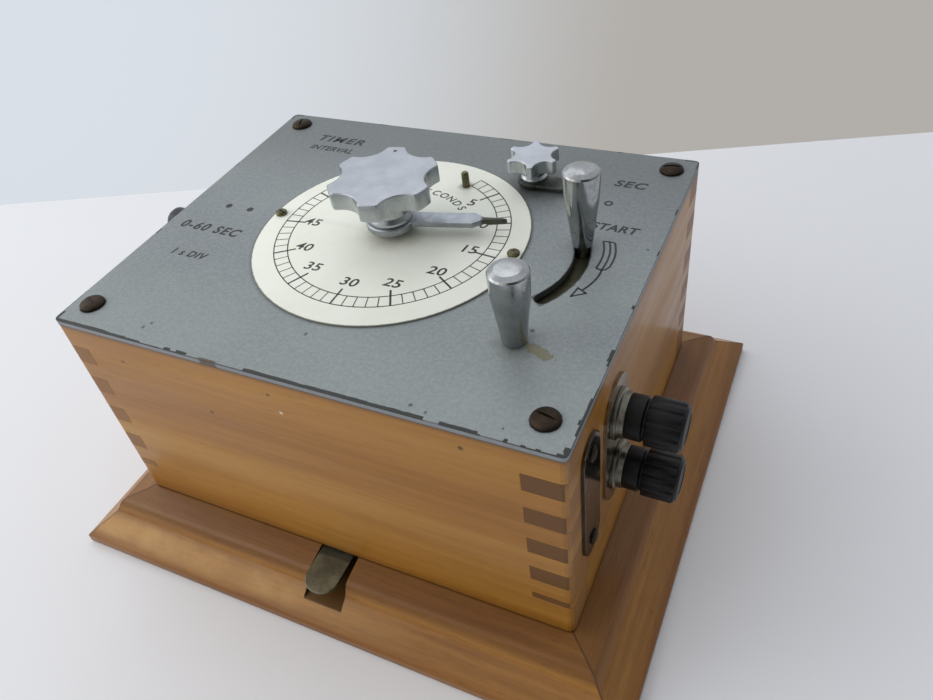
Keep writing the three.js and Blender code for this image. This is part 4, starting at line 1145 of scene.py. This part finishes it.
# ================================================================ setting knob and hand
KNOB_TOP = PLATE_TOP + 20
KNOB_FOOT = KNOB_TOP - 5.8
BORE = 3.06                                  # radius round the main arbor
knob_levels = [(KNOB_FOOT, 0.45), (KNOB_FOOT + 0.12, 0.18), (KNOB_FOOT + 0.4, 0.0),
               (KNOB_TOP - 0.42, 0.0), (KNOB_TOP - 0.2, 0.07), (KNOB_TOP - 0.06, 0.22),
               (KNOB_TOP, 0.5)]
knob = stack("setting_knob_star", scallops(ARBOR, 16.8, 20.74, 7.44, corner=0.8), knob_levels)
put(keep_flat(knob), "hand_train", KNOB_METAL, "aluminium", "setting_knob")
knob_hub = [(BORE, 102.4), (7.1, 102.4), (7.1, 103.5), (6.4, 105.0), (6.35, KNOB_FOOT + 0.1),
            (BORE, KNOB_FOOT + 0.1)]
put(lathe("setting_knob_hub", fillet(knob_hub, 0.3, 3), 64, ARBOR),
    "hand_train", KNOB_METAL, "aluminium")

# one side of the blade, from the boss to the tip: x, y, corner radius
BLADE = [(4.2, -3.0, 0), (26.3, -3.0, 0.35), (29.4, -0.85, 0.35), (35.2, -0.55, 0.35),
         (36.5, 0, 0)]
blade = stack("time_hand_blade", pointer_outline(BLADE, ARBOR, 12.7, 3),
              [(100.72, 0.1), (100.82, 0.0), (102.05, 0.0), (102.22, 0.06), (102.34, 0.2)])
put(keep_flat(blade), "hand_train", HAND_METAL, "aluminium", "time_hand")
hand_boss = [(BORE, 99.6), (7.5, 99.6), (7.9, 100.2), (7.9, 102.0), (7.5, 102.38), (BORE, 102.38)]
put(lathe("time_hand_boss", fillet(hand_boss, 0.3, 4), 72, ARBOR),
    "hand_train", HAND_METAL, "aluminium")

# ================================================================ selector
STAR_TOP = PLATE_TOP + 10.7
STAR_FOOT = STAR_TOP - 4.4
STAR_BORE = 2.56                             # radius round the selector spindle
star_levels = [(STAR_FOOT, 0.3), (STAR_FOOT + 0.1, 0.1), (STAR_FOOT + 0.3, 0.0),
               (STAR_TOP - 0.32, 0.0), (STAR_TOP - 0.14, 0.06), (STAR_TOP - 0.04, 0.17),
               (STAR_TOP, 0.36)]
star = stack("selector_star", scallops(SELECTOR, 8.7, 9.83, 3.93, corner=0.5), star_levels)
put(keep_flat(star), "selector", SELECTOR_METAL, "aluminium", "selector_knob")
star_hub = [(STAR_BORE, 99.4), (4.3, 99.4), (4.3, 100.2), (3.7, 101.0), (3.9, STAR_FOOT + 0.1),
            (STAR_BORE, STAR_FOOT + 0.1)]
put(lathe("selector_hub", fillet(star_hub, 0.25, 3), 48, SELECTOR),
    "selector", SELECTOR_METAL, "aluminium")

# one side of the pointer, from the boss to the tip: x, y, corner radius
POINTER = [(0.5, -4.85, 0), (3.0, -4.4, 3.0), (11, -2.7, 3.0), (17.6, -1.0, 0.6), (18.9, 0, 0.6)]
pointer = stack("selector_pointer_arm", pointer_outline(POINTER, SELECTOR, -11.8, 4),
                [(98.2, 0.08), (98.28, 0.0), (99.05, 0.0), (99.22, 0.1), (99.38, 0.42)])
put(keep_flat(pointer), "selector", METALS["aluminium_pointer"], "aluminium", "selector_pointer")
pointer_boss = [(STAR_BORE, 97.32), (4.6, 97.32), (5.4, 98.2), (5.4, 99.38), (STAR_BORE, 99.38)]
put(lathe("selector_pointer_boss", fillet(pointer_boss, 0.3, 4), 56, SELECTOR),
    "selector", METALS["aluminium_pointer"], "aluminium")

# ================================================================ lever handle and pillar
# radius, height above the grip's foot, corner radius
GRIP = [(3.05, 1.2, 0.2), (3.12, 1.9, 0.3), (4.15, 10.5, 6.0), (4.78, 15.2, 3.0),
        (5.08, 18.2, 2.0), (5.3, 24.7, 0.22), (4.95, 25.25, 0.25), (3.4, 25.85, 1.2), (0, 26.18, 0)]


def grip(foot, extra=0.0):
    return [(r + extra if r else 0, foot + height, corner) for r, height, corner in GRIP]


shank = [(0, 87.6), (1.5, 87.6), (1.5, 90.3), (2.0, 90.3)]
turned = fillet([(2.0, PLATE_TOP + 0.8)] + grip(PLATE_TOP), 0.2, 6)
put(lathe("lever_handle_grip", shank + turned, 96, HANDLE, angle=26),
    "lever", METALS["nickel_handle"], "nickel", "lever_handle")
pillar_foot = [(2.0, PLATE_TOP), (3.2, PLATE_TOP), (3.25, PLATE_TOP + 0.3), (3.4, PLATE_TOP + 0.8)]
turned = fillet(pillar_foot + grip(PLATE_TOP - 2.2, extra=0.1)[2:], 0.2, 6)
put(lathe("grip_pillar_turned", [(0, 90.2), (2.0, 90.2)] + turned, 96, PILLAR, angle=26),
    "case", METALS["nickel_pillar"], "nickel", "grip_pillar")

# ================================================================ binding posts
# turned profiles: radius, distance out from the case side
COLLAR = [(2.05, 1), (7.5, 1), (7.5, 2.15), (6.6, 2.5), (6.6, 4.18), (2.05, 4.18)]
SKIRT = [(2.05, 4.2), (6.3, 4.2), (6.35, 8.5), (5.7, 8.95), (5.7, 9.6), (2.05, 9.6)]
NOSE = [(0, 18.45), (6.45, 18.45), (6.4, 18.75), (5.6, 19.45), (4.6, 19.58), (4.2, 19.3),
        (0, 19.25)]
RIBBED = (CASE_X + 9.5, CASE_X + 18.5)       # where the ribbed middle starts and ends
RIBS = 12


def post_part(name, profile, corner, centre):
    return lathe(name, fillet([(r, CASE_X + out) for r, out in profile], corner, 3),
                 72, centre, "x")


for place, centre in POSTS.items():
    put(post_part("terminal_collar_ring_" + place, COLLAR, 0.22, centre),
        "clamp_" + place, METALS["nickel_collar"], "nickel", "terminal_collar_" + place)
    head = "head_" + place
    put(post_part("terminal_skirt_" + place, SKIRT, 0.25, centre),
        head, BAKELITE, "bakelite", "terminal_head_" + place)
    ribs = [polar(centre, radius, 360 / RIBS * i + turn) for i in range(RIBS)
            for radius, turn in ((6.95, -9.5), (7.02, 0), (6.95, 9.5), (6.5, 15.0))]
    start, end = RIBBED
    levels = [(start, 0.5), (start + 0.15, 0.15), (start + 0.45, 0.0), (end - 0.3, 0.0),
              (end, 0.22)]
    put(stack("terminal_grip_" + place, fillet(ribs, 0.5, 3, True), levels,
              [circle(centre, 2.08, 24)], "x"),
        head, BAKELITE, "bakelite")
    put(post_part("terminal_nose_" + place, NOSE, 0.25, centre), head, BAKELITE, "bakelite")

# ================================================================ side button
# radius, distance out from the left side, corner radius
BUTTON = [(0, 9.98, 0.8), (2.6, 9.75, 0.8), (4.1, 9.1, 0.8), (5.0, 7.6, 0.8), (5.0, 3.8, 0.8),
          (4.6, 3.4, 0.3), (3.0, 3.4, 0.0), (3.0, -18, 0.8), (0, -18, 0.8)]
button = fillet([(r, -CASE_X - out, corner) for r, out, corner in BUTTON], 0.8, 5)
put(lathe("side_button_cap", button, 64, (-2.7, 89.2), "x"),
    "button", METALS["steel_button"], "dark_steel", "side_button")

# ================================================================ CAD nodes that keep their shape
for names, material, ease in (
    (("main_arbor", "selector_spindle", "winding_arbor", "latch_pin", "movement_screw_1",
      "movement_screw_2", "movement_screw_3", "governor_fly", "grip_pillar_nut"),
     METALS["steel_bright"], 0.0),
    (("movement_plate_upper", "movement_plate_lower", "movement_post_1", "movement_post_2",
      "movement_post_3", "centre_wheel", "third_wheel", "barrel_drum", "terminal_stud_upper",
      "terminal_stud_lower"), METALS["brass_movement"], 0.0),
    (("mainspring", "latch_spring", "contact_spring_moving", "contact_spring_fixed"),
     METALS["steel_spring"], 0.0),
    (("lever_arm",), METALS["steel_olive_shutter"], 0.0),
    (("contact_block",), fibre(), 0.2),
    (("latch_tab",), latch_metal(), 0.22),
    (("terminal_plate",), METALS["nickel_side_plate"], 0.18),
    (("cover_plate",), METALS["steel_cover_plate"], 0.15),
    (("button_bush",), METALS["nickel_collar"], 0.15),
):
    for name in names:
        if name in NODES:
            dress(name, material, ease)


# ================================================================ table
def table_white():
    mat = Material("table_white")
    cloud = mat.point.noise(0.01, rough=0.5)
    mat.color = mat.mix(cloud, rgb(244, 245, 248), rgb(241, 242, 245))
    mat.bump(mat.point.noise(0.6, detail=2, rough=0.5), strength=0.05, step=0.02)
    mat.rough = 0.55
    return mat.finish(Specular_IOR_Level=0.35)


def table():
    left, right = Vector((-346.1, 82.7)), Vector((164.7, 289.7))     # on its back edge
    along = (right - left).normalized()
    left, right = left - along * 3000, right + along * 3000
    forward = Vector((along.y, -along.x)) * 3500
    corners = (left, left + forward, right + forward, right)
    mesh = bpy.data.meshes.new("floor")
    mesh.from_pydata([(p.x * MM, p.y * MM, 0) for p in corners], [], [(0, 1, 2, 3)])
    floor = link(bpy.data.objects.new("floor", mesh))
    mesh.materials.append(table_white())


table()


# ================================================================ world
def studio():
    world = bpy.data.worlds.new("studio")
    bpy.context.scene.world = world
    world.use_nodes = True
    nodes = Nodes(world.node_tree)
    direction = nodes.node("TexCoord", {}, "Generated")

    def lobe(towards, low, high):
        """Rises as the view nears a direction; low and high are cosines."""
        return direction.dot(Vector(towards).normalized()).rise(low, high)

    # a pale sky to the upper back left, its bright core, and a dark patch to the front right
    sky = nodes.mix(lobe((-0.45, 0.62, 0.64), -0.6, 0.75),
                    (0.15, 0.15, 0.15, 1), (0.67, 0.69, 0.725, 1))
    sky = nodes.mix(lobe((-0.40, 0.62, 0.68), 0.80, 0.97), sky, (0.78, 0.81, 0.86, 1))
    sky = nodes.mix(lobe((0.45, -0.78, 0.42), 0.72, 0.93), sky, (0.06, 0.06, 0.06, 1))
    # below the horizon: warm grey, cooler to the back left
    wall = nodes.mix(lobe((-0.85, 0.5, -0.2), 0.70, 1.0),
                     (0.445, 0.425, 0.40, 1), (0.70, 0.745, 0.80, 1))
    sky = nodes.mix(lobe((0, 0, -1), -0.02, 0.10), sky, wall)
    nodes.end("World", nodes.node("Background", {"Color": sky, "Strength": 1.0}))


studio()

# ================================================================ lights and camera
# name, place and target in metres, disc diameter, power, colour
LIGHTS = (
    ("window", (-0.62, 0.80, 1.15), (0, 0, 0.06), 1.0, 1.65, (0.97, 0.99, 1.0)),
    ("room", (-0.95, -0.62, 0.60), (0, 0, 0.05), 1.3, 4.4, (1.0, 0.99, 0.96)),
    ("side", (-1.3, -0.1, 0.75), (0, 0, 0.06), 1.6, 4.6, (1.0, 0.99, 0.97)),
    ("front", (-0.35, -1.4, 0.9), (0, 0, 0.06), 1.6, 3.3, (1.0, 0.96, 0.93)),
)
for name, place, target, size, power, color in LIGHTS:
    light = bpy.data.lights.new(name, "AREA")
    light.shape, light.size, light.energy, light.color = "DISK", size, power, color
    lamp = link(bpy.data.objects.new(name, light))
    lamp.location = place
    lamp.rotation_euler = (Vector(target) - Vector(place)).to_track_quat("-Z", "Y").to_euler()

lens = bpy.data.cameras.new("camera")
lens.lens, lens.sensor_width, lens.sensor_fit = 30.527, 36.0, "HORIZONTAL"
lens.clip_start, lens.clip_end = 0.01, 20
camera = link(bpy.data.objects.new("camera", lens))
camera.matrix_world = Matrix((               # columns: right, up, backwards, place in metres
    (0.90410081, -0.20744896, 0.3735862, 0.12022),
    (0.41234188, 0.65295936, -0.63530957, -0.16995),
    (-0.1121423, 0.72842913, 0.67588098, 0.23509),
    (0, 0, 0, 1)))
bpy.context.scene.camera = camera
bpy.context.scene.view_settings.view_transform = "Standard"
